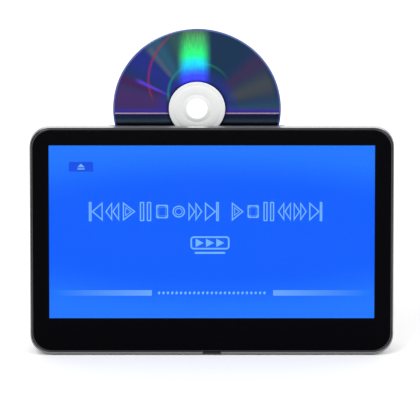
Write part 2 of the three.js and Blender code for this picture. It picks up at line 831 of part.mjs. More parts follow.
// Drive chassis with the ears that carry the roller, and the gear train at its right ear.
const rollerGearPlace = { depth: rollerDepth, z: rollerZ };
const idlerDistance = (gearModule * (rollerTeeth + idlerTeeth)) / 2 + gearBacklash;
const idlerDepth = rollerDepth + 1.8;
const idlerPlace = {
  depth: idlerDepth,
  z: rollerZ - Math.sqrt(idlerDistance ** 2 - (idlerDepth - rollerDepth) ** 2),
};
const pinionDistance = (gearModule * (idlerTeeth + pinionTeeth)) / 2 + gearBacklash;
const pinionPlace = { depth: idlerDepth, z: idlerPlace.z - pinionDistance };

function buildChassis() {
  const bottom = floorZ + 16;
  const plateZ = [bottom, rollerZ + 4];
  let chassis = block(driveX, [chassisFront, chassisRear], plateZ);
  const overlap = 0.1;
  const root = chassisRear - overlap;
  chassis = joined(
    chassis,
    block([driveX[0], driveX[0] + 0.8], [root, chassisRear + 2.2], plateZ),
    block(driveX, [root, chassisRear + 2.2], [bottom, bottom + 0.8]),
    block([leftEar, leftEar + earThickness], [root, rollerDepth + 3], [rollerZ - 6, rollerZ + 4]),
    block([rightEar, rightEar + earThickness], [root, idlerDepth + 3.4], [pinionPlace.z - 3, rollerZ + 4]),
  );
  const axleX = rightEar + earThickness - overlap;
  const shaftBore = bar('x', rollerShaftRadius + gap, bodyWidth, [leftEar - 1, rollerDepth, rollerZ], 20);
  const idlerAxle = bar('x', gearAxleRadius, gearWidth + 1.4, [axleX, idlerPlace.depth, idlerPlace.z], 16);
  const gearRelief = [
    [rollerTeeth, rollerGearPlace],
    [idlerTeeth, idlerPlace],
    [pinionTeeth, pinionPlace],
  ].map(([teeth, { depth, z }]) =>
    bar('x', tipRadius(teeth) + gap, gearWidth + 2 * gap, [gearX - gap, depth, z], 32),
  );
  add('drive_chassis', joined(cut(chassis, shaftBore, ...gearRelief), idlerAxle), sheetMetal);

  damperPlaces.forEach(([x, z], i) => {
    const profile = [
      [damperRadius, 0],
      [damperRadius, 1.4],
      [2.8, 1.6],
      [2.8, 2.4],
      [damperRadius, 2.6],
      [damperRadius, 4],
    ];
    add(`drive_damper_${i + 1}`, ring('y', 1.5, profile, [x, chassisRear + gap, z], 20), blackRubber);
  });
}

function buildLoading() {
  const rollerHalf = discRadius + 2;
  const taper = [
    [rollerRadius, 0],
    [rollerRadius, 12],
    [rollerWaist, rollerHalf - 8],
    [rollerWaist, rollerHalf + 8],
    [rollerRadius, 2 * rollerHalf - 12],
    [rollerRadius, 2 * rollerHalf],
  ];
  const shaftStart = leftEar - 1;
  const shaftEnd = gearX + gearWidth + 0.8;
  const rollerStart = [discOffsetX - rollerHalf, rollerDepth, rollerZ];
  add('loading_roller', ring('x', rollerShaftRadius + gap, taper, rollerStart, 28), blackRubber);
  const shaftPlace = [shaftStart, rollerDepth, rollerZ];
  add('roller_shaft', bar('x', rollerShaftRadius, shaftEnd - shaftStart, shaftPlace), steel);

  const toIdler = Math.atan2(idlerPlace.z - rollerZ, idlerPlace.depth - rollerDepth);
  const rollerPhase = toIdler;
  const idlerPhase = meshPhase(rollerTeeth, rollerPhase, toIdler, idlerTeeth);
  const pinionPhase = meshPhase(idlerTeeth, idlerPhase, -Math.PI / 2, pinionTeeth);
  const rollerBore = rollerShaftRadius + gap;
  const idlerBore = gearAxleRadius + gap;
  const pinionBore = loadingShaftRadius + gap;
  add('roller_gear', gear(rollerTeeth, rollerPhase, rollerBore, gearX, rollerGearPlace), whitePlastic);
  add('idler_gear', gear(idlerTeeth, idlerPhase, idlerBore, gearX, idlerPlace), whitePlastic);
  add('motor_pinion', gear(pinionTeeth, pinionPhase, pinionBore, gearX, pinionPlace), steel);

  const shaft = loadingMotorX - gearX + 0.2;
  const motor = [
    [0, 0],
    [loadingShaftRadius, 0],
    [loadingShaftRadius, shaft - 0.8],
    [2, shaft - 0.8],
    [2, shaft],
    [loadingMotorRadius, shaft],
    [loadingMotorRadius, shaft + loadingMotorLength],
    [0, shaft + loadingMotorLength],
  ];
  const motorPlace = [loadingMotorX - shaft, pinionPlace.depth, pinionPlace.z];
  add('loading_motor', turned('x', motor, motorPlace, 28), steel);
}

// Rear guide plate with legs to the chassis, and the clamper that floats in its hole.
const clamperFace = discRearDepth + 0.4;
const clamperBodyRadius = 12.5;
const clamperFlangeRadius = 15.5;
const guideDepths = [clamperFace + 2.5, clamperFace + 3.3];

function buildGuide() {
  const half = discRadius + 2;
  const guideX = [discOffsetX - half - 1, discOffsetX + half + 1];
  const legHeight = 12;
  const legRoom = 8.1;
  const zLow = Math.min(spindleZ - discRadius + 4, traverseZ[0] - gap - legHeight);
  const zHigh = rollerZ - 2;
  let guide = block(guideX, guideDepths, [zLow, zHigh]);
  for (const x of [guideX[0], guideX[1] - 1]) {
    for (const legZ of [[zLow, zLow + legHeight], [camZ[1] + legRoom, zHigh - 8]]) {
      guide = joined(guide, block([x, x + 1], [chassisRear + gap, guideDepths[0] + 0.1], legZ));
    }
  }
  const hole = bar('y', clamperBodyRadius + 0.7, 10, [discOffsetX, guideDepths[0] - 5, spindleZ], 40);
  add('disc_guide_plate', cut(guide, hole), sheetMetal);

  const flangeStart = guideDepths[1] + gap - clamperFace;
  const profile = [
    [5, 1],
    [hubRadius + 0.8, 1],
    [hubRadius + 0.8, 0],
    [clamperBodyRadius, 0],
    [clamperBodyRadius, flangeStart],
    [clamperFlangeRadius, flangeStart],
    [clamperFlangeRadius, flangeStart + 0.8],
    [0, flangeStart + 0.8],
    [0, 1],
    [5, 1],
  ];
  add('clamper', turned('y', profile, [discOffsetX, clamperFace, spindleZ], 40), whitePlastic);
}

// Traverse: the frame that lifts the spindle motor, the pickup and its rods towards the disc.
const traverseFront = chassisRear + 0.4;
const traverseRear = traverseFront + traverseThickness;
const turntableFace = discFrontDepth - 0.4 - liftTravel;
const turntablePlate = 1;
const pickupHalfZ = 22;
const pickupFront = traverseFront + 0.2;
const pickupRear = pickupFront + 3.7;
const rodDepth = pickupFront + 1.85;
const rodOffset = 18;
const leadScrewDepth = traverseFront + sledMotorRadius;
const screwOffset = -26;
const windowZ = [spindleZ + screwOffset - 4.6, spindleZ + 24];
const sledMotorX = [discOffsetX - 26, discOffsetX - 8];
const camPinX = [discOffsetX - 9, discOffsetX + discRadius];
const camPinRadius = 0.6;
const camPinDepth = traverseFront + 1.6;
const traverseZ = [windowZ[0] - 4, windowZ[1] + 4];
const camZ = [traverseZ[1] + 0.4, traverseZ[1] + 1.9];

function buildTraverse() {
  let frame = block([sledMotorX[0] - 4, traverseRight], [traverseFront, traverseRear], traverseZ);
  const screwSlot = block([sledMotorX[0] - gap, windowX[0] + 0.1], through, [windowZ[0], windowZ[0] + 9.4]);
  frame = cut(
    frame,
    block(windowX, through, windowZ),
    screwSlot,
    bar('y', spindleMotorRadius + gap, bodyDepth, [discOffsetX, 0, spindleZ], 40),
  );
  for (const x of camPinX) {
    frame = joined(frame, bar('z', camPinRadius, 3.6, [x, camPinDepth, traverseZ[1] - 0.6], 12));
  }
  add('traverse_frame', frame, blackPlastic);

  const motorFront = traverseFront + gap;
  const motorHeight = turntableFace - turntablePlate - gap - motorFront;
  const motor = [
    [0, 0],
    [spindleMotorRadius, 0],
    [spindleMotorRadius, motorHeight],
    [1, motorHeight],
    [1, motorHeight + gap + turntablePlate + 1.2],
    [0, motorHeight + gap + turntablePlate + 1.2],
  ];
  add('spindle_motor', turned('y', motor, [discOffsetX, motorFront, spindleZ], 40), steel);

  const table = [
    [turntableRadius, 0],
    [turntableRadius, turntablePlate],
    [hubRadius, turntablePlate],
    [hubRadius, turntablePlate + 1.1],
    [hubRadius - 1.4, turntablePlate + 1.9],
  ];
  const tablePlace = [discOffsetX, turntableFace - turntablePlate, spindleZ];
  add('turntable', ring('y', 1 + gap, table, tablePlace, 40), blackPlastic);

  [-1, 1].forEach((sign, i) => {
    const start = [windowX[0] + gap, rodDepth, spindleZ + sign * rodOffset];
    add(`guide_rod_${i + 1}`, bar('x', guideRodRadius, windowX[1] - windowX[0] - 2 * gap, start, 16), steel);
  });
  const screwZ0 = spindleZ + screwOffset;
  const sledLength = sledMotorX[1] - sledMotorX[0];
  add('sled_motor', bar('x', sledMotorRadius, sledLength, [sledMotorX[0], leadScrewDepth, screwZ0]), steel);
  const screwLength = windowX[1] - sledMotorX[1] - 2 * gap;
  const screwPlace = [sledMotorX[1] + gap, leadScrewDepth, screwZ0];
  add('lead_screw', bar('x', leadScrewRadius, screwLength, screwPlace, 16), steel);

  const lensX = discOffsetX + lensInnerRadius;
  let pickup = block(pickupX, [pickupFront, pickupRear], [spindleZ - pickupHalfZ, spindleZ + pickupHalfZ]);
  const nut = block(
    [pickupX[0] + 4, pickupX[0] + 16],
    [pickupFront, pickupRear],
    [screwZ0 - 3.4, spindleZ - pickupHalfZ + 0.1],
  );
  pickup = joined(pickup, nut);
  for (const z of [spindleZ - rodOffset, spindleZ + rodOffset]) {
    pickup = cut(pickup, bar('x', guideRodRadius + gap, 60, [pickupX[0] - 10, rodDepth, z], 16));
  }
  pickup = cut(
    pickup,
    bar('x', leadScrewRadius + gap, 60, [pickupX[0] - 10, leadScrewDepth, screwZ0], 16),
    bar('y', 3.4, 5, [lensX, pickupRear - 1.6, spindleZ], 28),
  );
  add('pickup_body', pickup, sheetMetal);
  const lensProfile = [
    [0, 0],
    [3, 0],
    [3, 1.3],
    [2.1, 1.3],
    [1.4, 1.5],
    [0, 1.6],
  ];
  add('objective_lens', turned('y', lensProfile, [lensX, pickupRear - 1.1, spindleZ], 28), opticGlass);

  const camSlope = liftTravel / camTravel;
  const camX = [camPinX[0] - camTravel - 6, camPinX[1] + 5];
  let cam = block(camX, [traverseFront - 0.1, traverseFront + 6.1], camZ);
  const slotHalf = (camPinRadius + gap) * Math.sqrt(1 + camSlope ** 2);
  const overrun = 1.2;
  for (const x of camPinX) {
    const run = [x + overrun, x - camTravel - overrun];
    const outline = [
      [run[0], camPinDepth - overrun * camSlope - slotHalf],
      [run[0], camPinDepth - overrun * camSlope + slotHalf],
      [run[1], camPinDepth + (camTravel + overrun) * camSlope + slotHalf],
      [run[1], camPinDepth + (camTravel + overrun) * camSlope - slotHalf],
    ].map(([px, depth]) => new THREE.Vector2(px, depthToY(depth)));
    const slot = new THREE.ExtrudeGeometry(new THREE.Shape(outline), { depth: 4, bevelEnabled: false });
    slot.translate(0, 0, camZ[0] - 1);
    cam = cut(cam, solid(slot));
  }
  add('cam_slider', cam, whitePlastic);
}

function buildDisc() {
  const profile = [
    [discRadius - 0.2, 0],
    [discRadius, 0.2],
    [discRadius, discThickness - 0.2],
    [discRadius - 0.2, discThickness],
  ];
  add('disc', ring('y', discHole / 2, profile, [discOffsetX, discFrontDepth, discZ], 96), discMetal);
}

// ---------- Assembly ----------

const outerCase = caseSolid(bandDepth + gap, bodyDepth, 0, rearEdgeRadius);
buildFront();
buildDisplay();
buildSlot(outerCase);
buildCover(outerCase);
buildKickstand();
buildFeetAndScrews();
buildElectronics();
buildPorts();
buildControls();
buildChassis();
buildLoading();
buildGuide();
buildTraverse();
buildDisc();

export default player;
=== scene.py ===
"""A portable disc player, finished on its fixed frame: case, display, disc slot, controls, sockets and disc drive.

Every length is in metres, in the frame's own axes: +X to the viewer's right, -Y to the front and +Z up.
"""

import json
import math

import bmesh
import bpy
from bpy.props import FloatProperty, FloatVectorProperty, IntProperty, PointerProperty
from mathutils import Matrix, Vector


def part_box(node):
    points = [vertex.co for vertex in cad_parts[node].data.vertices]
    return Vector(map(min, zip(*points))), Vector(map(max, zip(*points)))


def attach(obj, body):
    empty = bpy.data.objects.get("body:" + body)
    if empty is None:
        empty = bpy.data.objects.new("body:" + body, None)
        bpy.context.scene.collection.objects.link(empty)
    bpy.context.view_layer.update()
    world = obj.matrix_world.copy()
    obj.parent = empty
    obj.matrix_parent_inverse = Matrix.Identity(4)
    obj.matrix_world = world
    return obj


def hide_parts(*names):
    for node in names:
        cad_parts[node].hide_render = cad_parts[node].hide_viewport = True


bl_info = {
    "name": "Portable disc player",
    "version": (1, 0, 0),
    "blender": (4, 5, 0),
    "location": "View3D > Sidebar > Player",
    "description": "Builds the finished pieces and materials of a portable disc player",
    "category": "Object",
}

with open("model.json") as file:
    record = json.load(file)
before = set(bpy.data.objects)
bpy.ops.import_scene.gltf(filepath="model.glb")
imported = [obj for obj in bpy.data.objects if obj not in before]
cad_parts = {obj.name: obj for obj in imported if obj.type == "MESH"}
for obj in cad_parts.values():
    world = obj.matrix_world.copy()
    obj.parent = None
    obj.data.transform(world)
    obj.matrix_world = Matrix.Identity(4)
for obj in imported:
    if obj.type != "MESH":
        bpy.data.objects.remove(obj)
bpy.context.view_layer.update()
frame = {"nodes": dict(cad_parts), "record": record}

MM = 0.001
BEHAVIOUR = frame["record"]["behaviour"]
BODY_OF_NODE = {node: body for body, nodes in BEHAVIOUR["bodies"].items() for node in nodes}
LENS_LOW, LENS_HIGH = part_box("front_lens")
DISC_LOW, DISC_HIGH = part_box("disc")
DISC_CENTRE = (DISC_LOW + DISC_HIGH) / 2
DISC_RADIUS = 60.0  # millimetres


# ---------- Settings ----------


def length(name, description, default):
    """A length that a user may change."""
    return FloatProperty(
        name=name, description=description, default=default, min=0.0, precision=5, subtype="DISTANCE", unit="LENGTH"
    )


def colour(name, description, default):
    """A colour that a user may change, as scene-linear red, green and blue."""
    return FloatVectorProperty(
        name=name, description=description, default=default, size=3, min=0.0, max=1.0, subtype="COLOR"
    )


class PlayerSizes(bpy.types.PropertyGroup):
    """Lengths and counts of the finished details."""

    case_edge: length("Case edge", "Rounding of the silver frame, cover and stand", 0.35 * MM)
    lens_edge: length("Lens edge", "Rounding of the front lens", 0.9 * MM)
    small_edge: length("Small edge", "Rounding of keys, sockets and drive pieces", 0.12 * MM)
    display_width: length("Display width", "Width of the lit area that the lens shows", 233.2 * MM)
    display_height: length("Display height", "Height of the lit area", 131.8 * MM)
    display_rise: length("Display rise", "Lens below the lit area", 25.0 * MM)
    symbol_stroke: length("Symbol stroke", "Line width of the outlined symbols", 0.9 * MM)
    disc_segments: IntProperty(name="Disc segments", description="Steps round the disc", default=192, min=32)
    foot_rib_pitch: length("Foot rib pitch", "Distance between the ribs under a foot", 2.4 * MM)
    stand_ribs: IntProperty(name="Stand grooves", description="Grip grooves on the kickstand", default=7, min=1)
    thread_pitch: length("Screw pitch", "Advance of the lead screw in one turn", 3.0 * MM)


class PlayerColours(bpy.types.PropertyGroup):
    """Colours of the finishes."""

    silver: colour("Silver paint", "Rear cover and stand", (0.38, 0.385, 0.40))
    # The front frame's silver is darker than the cover's as painted shade for the darker room that the frame reflects.
    shaded_frame_silver: colour("Shaded frame silver", "Front frame", (0.17, 0.172, 0.185))
    lens_black: colour("Lens black", "Printed border of the front lens", (0.0007, 0.0007, 0.0013))
    display_centre: colour("Display centre", "Lit area in its middle", (0.006, 0.118, 1.0))
    display_edge: colour("Display edge", "Lit area towards its top and bottom", (0.018, 0.190, 1.0))
    symbol: colour("Symbols", "Outlined symbols on the display", (0.19, 0.50, 1.0))
    rubber: colour("Rubber", "Feet, dampers and roller", (0.018, 0.018, 0.019))
    felt: colour("Felt", "Lips of the disc slot", (0.022, 0.022, 0.025))
    disc_hub: colour("Disc hub", "Frosted ring round the disc's hole", (0.64, 0.65, 0.64))
    # The data side's base is dark as a painted reflection of a dark room in the mirrored disc.
    disc_base: colour("Disc base", "Data side between its colour streaks", (0.013, 0.029, 0.075))
    floor: colour("Floor", "Studio floor", (0.90, 0.90, 0.90))


# ---------- Node helpers ----------


def set_inputs(tree, node, inputs):
    """Sets or links a node's inputs by name or number."""
    for name, value in inputs.items():
        if isinstance(value, bpy.types.NodeSocket):
            tree.links.new(value, node.inputs[name])
        else:
            node.inputs[name].default_value = value


def add_node(tree, kind, settings=None, inputs=None):
    """Adds a node, sets its properties, and sets or links its inputs."""
    node = tree.nodes.new(kind)
    node.location = (220 * (len(tree.nodes) % 12), -260 * (len(tree.nodes) // 12))
    for name, value in (settings or {}).items():
        setattr(node, name, value)
    set_inputs(tree, node, inputs or {})
    return node


def math_node(tree, operation, first, second=0.0, clamp=False):
    """The result of one arithmetic step."""
    settings = {"operation": operation, "use_clamp": clamp}
    return add_node(tree, "ShaderNodeMath", settings, {0: first, 1: second}).outputs[0]


def multiply_add(tree, value, factor, offset):
    """A value times a factor plus an offset."""
    inputs = {0: value, 1: factor, 2: offset}
    return add_node(tree, "ShaderNodeMath", {"operation": "MULTIPLY_ADD"}, inputs).outputs[0]


def vector_math(tree, operation, first, second=(0.0, 0.0, 0.0)):
    """One vector step; lengths, distances and dot products come out as a number."""
    node = add_node(tree, "ShaderNodeVectorMath", {"operation": operation}, {0: first, 1: second})
    return node.outputs["Value" if operation in ("LENGTH", "DISTANCE", "DOT_PRODUCT") else "Vector"]


def ranged(tree, value, start, end, low=0.0, high=1.0, smooth=True):
    """Carries the range from start to end over to the one from low to high."""
    settings = {"interpolation_type": "SMOOTHSTEP" if smooth else "LINEAR"}
    inputs = {"Value": value, "From Min": start, "From Max": end, "To Min": low, "To Max": high}
    return add_node(tree, "ShaderNodeMapRange", settings, inputs).outputs[0]


def object_place(tree):
    """The shaded point in object coordinates."""
    return add_node(tree, "ShaderNodeTexCoord").outputs["Object"]


def noise(tree, scale, detail=2.0, vector=None, distortion=0.0):
    """Noise over the object, or over a given vector."""
    inputs = {"Vector": vector or object_place(tree), "Scale": scale, "Detail": detail, "Distortion": distortion}
    return add_node(tree, "ShaderNodeTexNoise", inputs=inputs).outputs["Fac"]


def mixed(tree, factor, first, second, blend="MIX"):
    """Two colours mixed by a factor."""
    settings = {"data_type": "RGBA", "blend_type": blend}
    node = add_node(tree, "ShaderNodeMix", settings, {0: factor})
    for index, value in ((6, first), (7, second)):
        if isinstance(value, bpy.types.NodeSocket):
            tree.links.new(value, node.inputs[index])
        else:
            node.inputs[index].default_value = (*value, 1.0)
    return node.outputs[2]


def ramped(tree, factor, stops, interpolation="LINEAR"):
    """A colour ramp; each stop is (position, colour)."""
    node = add_node(tree, "ShaderNodeValToRGB", inputs={"Fac": factor})
    ramp = node.color_ramp
    ramp.interpolation = interpolation
    while len(ramp.elements) < len(stops):
        ramp.elements.new(0.5)
    for element, (position, stop) in zip(ramp.elements, stops):
        element.position = position
        element.color = (*stop, 1.0)
    return node.outputs["Color"]


def new_group(name, kind, inputs, outputs):
    """An empty node group with named sockets, and its input and output nodes."""
    tree = bpy.data.node_groups.new(name, kind)
    for in_out, sockets in (("INPUT", inputs), ("OUTPUT", outputs)):
        for socket_name, socket_type, default in sockets:
            socket = tree.interface.new_socket(name=socket_name, in_out=in_out, socket_type=socket_type)
            if default is not None:
                socket.default_value = default
    return tree, tree.nodes.new("NodeGroupInput"), tree.nodes.new("NodeGroupOutput")


FLOAT, VECTOR, COLOUR, GEOMETRY = "NodeSocketFloat", "NodeSocketVector", "NodeSocketColor", "NodeSocketGeometry"


def scaled(base, share):
    """A colour made darker or lighter by a share."""
    return tuple(min(1.0, share * value) for value in base)


# ---------- Shader groups shared by the materials ----------


def shader_group(name, inputs, outputs):
    """An empty shader group of number sockets, apart from the ones given with a type."""
    given = [socket if len(socket) == 3 else (socket[0], FLOAT, socket[1]) for socket in inputs]
    return new_group(name, "ShaderNodeTree", given, [(output, FLOAT, None) for output in outputs])


def edge_wear_group():
    """Worn mask along edges: where a rounded normal leaves the true one, broken up by noise."""
    tree, given, result = shader_group("Edge wear", [("Width", 0.0004), ("Amount", 0.5)], ["Mask"])
    rounded = add_node(tree, "ShaderNodeBevel", {"samples": 4}, {"Radius": given.outputs["Width"]}).outputs[0]
    true_normal = add_node(tree, "ShaderNodeNewGeometry").outputs["True Normal"]
    agreement = vector_math(tree, "DOT_PRODUCT", rounded, true_normal)
    edge = math_node(tree, "SUBTRACT", 1.0, agreement, clamp=True)
    strong = math_node(tree, "MULTIPLY", edge, 5.0, clamp=True)
    broken = math_node(tree, "MULTIPLY", strong, noise(tree, 900.0, 3.0))
    mask = math_node(tree, "MULTIPLY", broken, given.outputs["Amount"], clamp=True)
    set_inputs(tree, result, {"Mask": mask})
    return tree


def end_gloss(tree, given, result, pattern, height):
    """Ends a group with a roughness that follows a pattern, and a height."""
    centred = math_node(tree, "SUBTRACT", pattern, 0.5)
    change = math_node(tree, "MULTIPLY", centred, given.outputs["Spread"])
    gloss = math_node(tree, "ADD", given.outputs["Roughness"], change, clamp=True)
    set_inputs(tree, result, {"Roughness": gloss, "Height": height})
    return tree


def grain_group():
    """Fine all-over grain of paint or moulded plastic, with slow changes in its gloss."""
    sockets = [("Scale", 2500.0), ("Roughness", 0.4), ("Spread", 0.1)]
    tree, given, result = shader_group("Surface grain", sockets, ["Roughness", "Height"])
    fine = noise(tree, given.outputs["Scale"], 4.0)
    return end_gloss(tree, given, result, noise(tree, 35.0), fine)


def brushed_group():
    """Lines of brushed or rolled metal, stretched along one direction."""
    sockets = [("Stretch", VECTOR, (1.0, 40.0, 40.0)), ("Roughness", 0.3), ("Spread", 0.2)]
    tree, given, result = shader_group("Brushed lines", sockets, ["Roughness", "Height"])
    stretched = vector_math(tree, "MULTIPLY", object_place(tree), given.outputs["Stretch"])
    brushed = noise(tree, 60.0, 5.0, stretched)
    return end_gloss(tree, given, result, brushed, brushed)


def dust_group():
    """Thin dust on faces that look up, laid over a colour."""
    sockets = [("Color", COLOUR, (0.5, 0.5, 0.5, 1.0)), ("Amount", FLOAT, 0.15)]
    tree, given, result = new_group("Settled dust", "ShaderNodeTree", sockets, [("Color", COLOUR, None)])
    normal = add_node(tree, "ShaderNodeNewGeometry").outputs["Normal"]
    upward = add_node(tree, "ShaderNodeSeparateXYZ", inputs={0: normal}).outputs["Z"]
    sparse = math_node(tree, "SUBTRACT", noise(tree, 420.0, 6.0), 0.42, clamp=True)
    facing = math_node(tree, "MULTIPLY", upward, sparse, clamp=True)
    mask = math_node(tree, "MULTIPLY", facing, given.outputs["Amount"], clamp=True)
    set_inputs(tree, result, {"Color": mixed(tree, mask, given.outputs["Color"], (0.55, 0.53, 0.50))})
    return tree


def smudge_group():
    """Faint hand marks on a glossy face: soft patches that are less smooth."""
    tree, given, result = shader_group("Hand marks", [("Clean", 0.03), ("Marked", 0.12)], ["Roughness"])
    patches = noise(tree, 28.0, 3.0, distortion=0.6)
    spots = ranged(tree, patches, 0.48, 0.72, given.outputs["Clean"], given.outputs["Marked"], smooth=False)
    set_inputs(tree, result, {"Roughness": spots})
    return tree


STREAK_FADE = 5.0  # millimetres over which a streak ends
STREAK_PIVOT = 40.0  # radius in millimetres at which a twisted streak has its own centre angle


# Mask of one painted streak of diffracted light on the disc.
def streak_group():
    """Soft-edged wedge of a disc between two radii, given the angle and radius of the shaded point."""
    sockets = [("Angle", 0.0), ("Radius", 0.0), ("Centre", 0.0), ("Twist", 0.0), ("Width", 10.0)]
    sockets += [("Inner", 20.0), ("Outer", 60.0)]
    tree, given, result = shader_group("Painted light streak", sockets, ["Mask"])
    out = given.outputs
    turned = math_node(tree, "MULTIPLY", out["Twist"], math_node(tree, "SUBTRACT", out["Radius"], STREAK_PIVOT))
    centre = math_node(tree, "ADD", out["Centre"], turned)
    apart = math_node(tree, "ABSOLUTE", math_node(tree, "SUBTRACT", out["Angle"], centre))
    across = ranged(tree, apart, out["Width"], 0.0)
    past_inner = math_node(tree, "SUBTRACT", out["Radius"], out["Inner"])
    before_outer = math_node(tree, "SUBTRACT", out["Outer"], out["Radius"])
    rising = math_node(tree, "DIVIDE", past_inner, STREAK_FADE, clamp=True)
    falling = math_node(tree, "DIVIDE", before_outer, STREAK_FADE, clamp=True)
    along = math_node(tree, "MULTIPLY", rising, falling)
    set_inputs(tree, result, {"Mask": math_node(tree, "MULTIPLY", across, along)})
    return tree


SHARED_GROUPS = {
    "wear": edge_wear_group,
    "grain": grain_group,
    "brushed": brushed_group,
    "dust": dust_group,
    "smudge": smudge_group,
    "streak": streak_group,
}
built_groups = {}


def placed_group(tree, name, inputs):
    """Places a shared group in a material with its own values."""
    if name not in built_groups:
        built_groups[name] = SHARED_GROUPS[name]()
    return add_node(tree, "ShaderNodeGroup", {"node_tree": built_groups[name]}, inputs)


# ---------- Materials ----------

materials = {}


def start_material(name):
    """A new material: its tree and its Principled shader."""
    material = bpy.data.materials.new(name)
    material.use_nodes = True
    materials[name] = material
    return material.node_tree, material.node_tree.nodes["Principled BSDF"]


def bump_into(tree, shader, height, strength, distance):
    """Bumps a shader's normal by a height."""
    node = add_node(tree, "ShaderNodeBump", inputs={"Height": height, "Strength": strength, "Distance": distance})
    tree.links.new(node.outputs[0], shader.inputs["Normal"])


def moulded(
    name, base, roughness, spread=0.12, grain=2500.0, bump=0.15, wear=0.25, worn=None, dust=0.1, coat=0.0, tone=0.12
):
    """Moulded or painted surface: grain in its gloss and height, worn edges, a little dust."""
    tree, shader = start_material(name)
    surface = placed_group(tree, "grain", {"Scale": grain, "Roughness": roughness, "Spread": spread})
    edges = placed_group(tree, "wear", {"Width": 0.5 * MM, "Amount": wear})
    varied = mixed(tree, noise(tree, 22.0, 3.0), scaled(base, 1 - tone), scaled(base, 1 + tone))
    rubbed = worn or tuple(min(1.0, 1.8 * value + 0.02) for value in base)
    coloured = mixed(tree, edges.outputs["Mask"], varied, rubbed)
    settled = placed_group(tree, "dust", {"Color": coloured, "Amount": dust}).outputs["Color"]
    gloss = surface.outputs["Roughness"]
    set_inputs(tree, shader, {"Base Color": settled, "Roughness": gloss, "Coat Weight": coat})
    bump_into(tree, shader, surface.outputs["Height"], bump, 0.02 * MM)
    return tree, shader


def metal(name, base, roughness, stretch=(1.0, 40.0, 40.0), spread=0.25, bump=0.1, wear=0.3):
    """Drawn, turned or rolled metal with fine lines and brighter edges."""
    tree, shader = start_material(name)
    brushed = placed_group(tree, "brushed", {"Stretch": stretch, "Roughness": roughness, "Spread": spread}).outputs
    edges = placed_group(tree, "wear", {"Width": 0.3 * MM, "Amount": wear})
    tint = mixed(tree, brushed["Height"], scaled(base, 0.8), base)
    bright = mixed(tree, edges.outputs["Mask"], tint, scaled(base, 1.25))
    set_inputs(tree, shader, {"Base Color": bright, "Roughness": brushed["Roughness"], "Metallic": 1.0})
    bump_into(tree, shader, brushed["Height"], bump, 0.01 * MM)


def flake_paint(name, base):
    """Metallic paint: fine flakes under a thin clear coat."""
    tree, shader = moulded(name, base, 0.34, 0.06, 3200.0, 0.06, 0.18, scaled(base, 1.8), tone=0.03)
    flakes = add_node(tree, "ShaderNodeTexVoronoi", inputs={"Vector": object_place(tree), "Scale": 5200.0})
    glint = multiply_add(tree, flakes.outputs["Distance"], -0.25, 0.82)
    set_inputs(tree, shader, {"Metallic": glint, "Coat Weight": 0.25, "Coat Roughness": 0.12})


def lens_materials(colours):
    """The lens: black print behind a glossy face, its ground edge, and the clear window over the display."""

    def marked(tree, clean, worst):
        return placed_group(tree, "smudge", {"Clean": clean, "Marked": worst}).outputs["Roughness"]

    tree, shader = start_material("lens_black")
    black = tuple(colours.lens_black)
    print_colour = mixed(tree, noise(tree, 9.0), black, scaled(black, 1.5))
    settled = placed_group(tree, "dust", {"Color": print_colour, "Amount": 0.05}).outputs["Color"]
    gloss = marked(tree, 0.035, 0.09)
    set_inputs(tree, shader, {"Base Color": settled, "Roughness": gloss, "Specular IOR Level": 0.02})

    tree, shader = start_material("lens_edge")
    ground = noise(tree, 800.0, 3.0)
    shade = mixed(tree, ground, (0.010, 0.010, 0.012), (0.022, 0.022, 0.026))
    set_inputs(tree, shader, {"Base Color": shade, "Roughness": marked(tree, 0.12, 0.2)})
    bump_into(tree, shader, ground, 0.1, 0.01 * MM)

    tree, shader = start_material("lens_window")
    clear = {"Base Color": (0.002, 0.003, 0.006, 1.0), "Specular IOR Level": 0.2, "Alpha": 0.04}
    set_inputs(tree, shader, {"Roughness": marked(tree, 0.03, 0.08), **clear})


def lit(tree, shader, shade, strength=1.1, base=(0.0, 0.0, 0.0), specular=0.0):
    """Makes a shader give off a colour."""
    light = {"Emission Color": shade, "Emission Strength": strength}
    set_inputs(tree, shader, {**light, "Base Color": (*base, 1.0), "Specular IOR Level": specular})


def display_materials(colours):
    """The lit panel with its slow change of blue and its fine dots, and the symbols on it."""
    middle = tuple(colours.display_centre)
    edge = tuple(colours.display_edge)
    centre = Vector(((LENS_LOW.x + LENS_HIGH.x) / 2, 0.0, display_middle_height()))
    tree, shader = start_material("display_glow")
    place = object_place(tree)
    spread = (1 / (260 * MM), 0.0, 1 / (66 * MM))  # one over the reach of the change, across and up
    offset = [-centre[i] * spread[i] for i in range(3)]
    inputs = {"Vector": place, "Location": offset, "Scale": spread}
    local = add_node(tree, "ShaderNodeMapping", {"vector_type": "POINT"}, inputs).outputs[0]
    reach = vector_math(tree, "LENGTH", local)
    glow = ramped(tree, reach, [(0.0, middle), (0.5, middle), (1.0, edge)], "EASE")
    dots = add_node(tree, "ShaderNodeTexChecker", inputs={"Vector": place, "Scale": 4200.0})
    dotted = mixed(tree, 0.04, glow, dots.outputs["Color"], "MULTIPLY")
    lit(tree, shader, dotted, base=(0.001, 0.0015, 0.003), specular=0.02)
    set_inputs(tree, shader, {"Roughness": 0.3})

    symbol = tuple(colours.symbol)
    for name, tint, dim in (("symbol_glow", symbol, 0.8), ("label_glow", (0.013, 0.09, 0.86), 0.85)):
        tree, shader = start_material(name)
        lit(tree, shader, mixed(tree, noise(tree, 60.0), scaled(tint, dim), tint))

    tree, shader = start_material("bar_glow")
    across = add_node(tree, "ShaderNodeSeparateXYZ", inputs={0: object_place(tree)}).outputs["X"]
    away = math_node(tree, "ABSOLUTE", math_node(tree, "SUBTRACT", across, centre.x))
    fade = ranged(tree, away, 44 * MM, 112 * MM, 1.0, 0.0, smooth=False)
    lit(tree, shader, mixed(tree, fade, edge, (*scaled(symbol[:2], 0.8), 1.0)), 1.06)
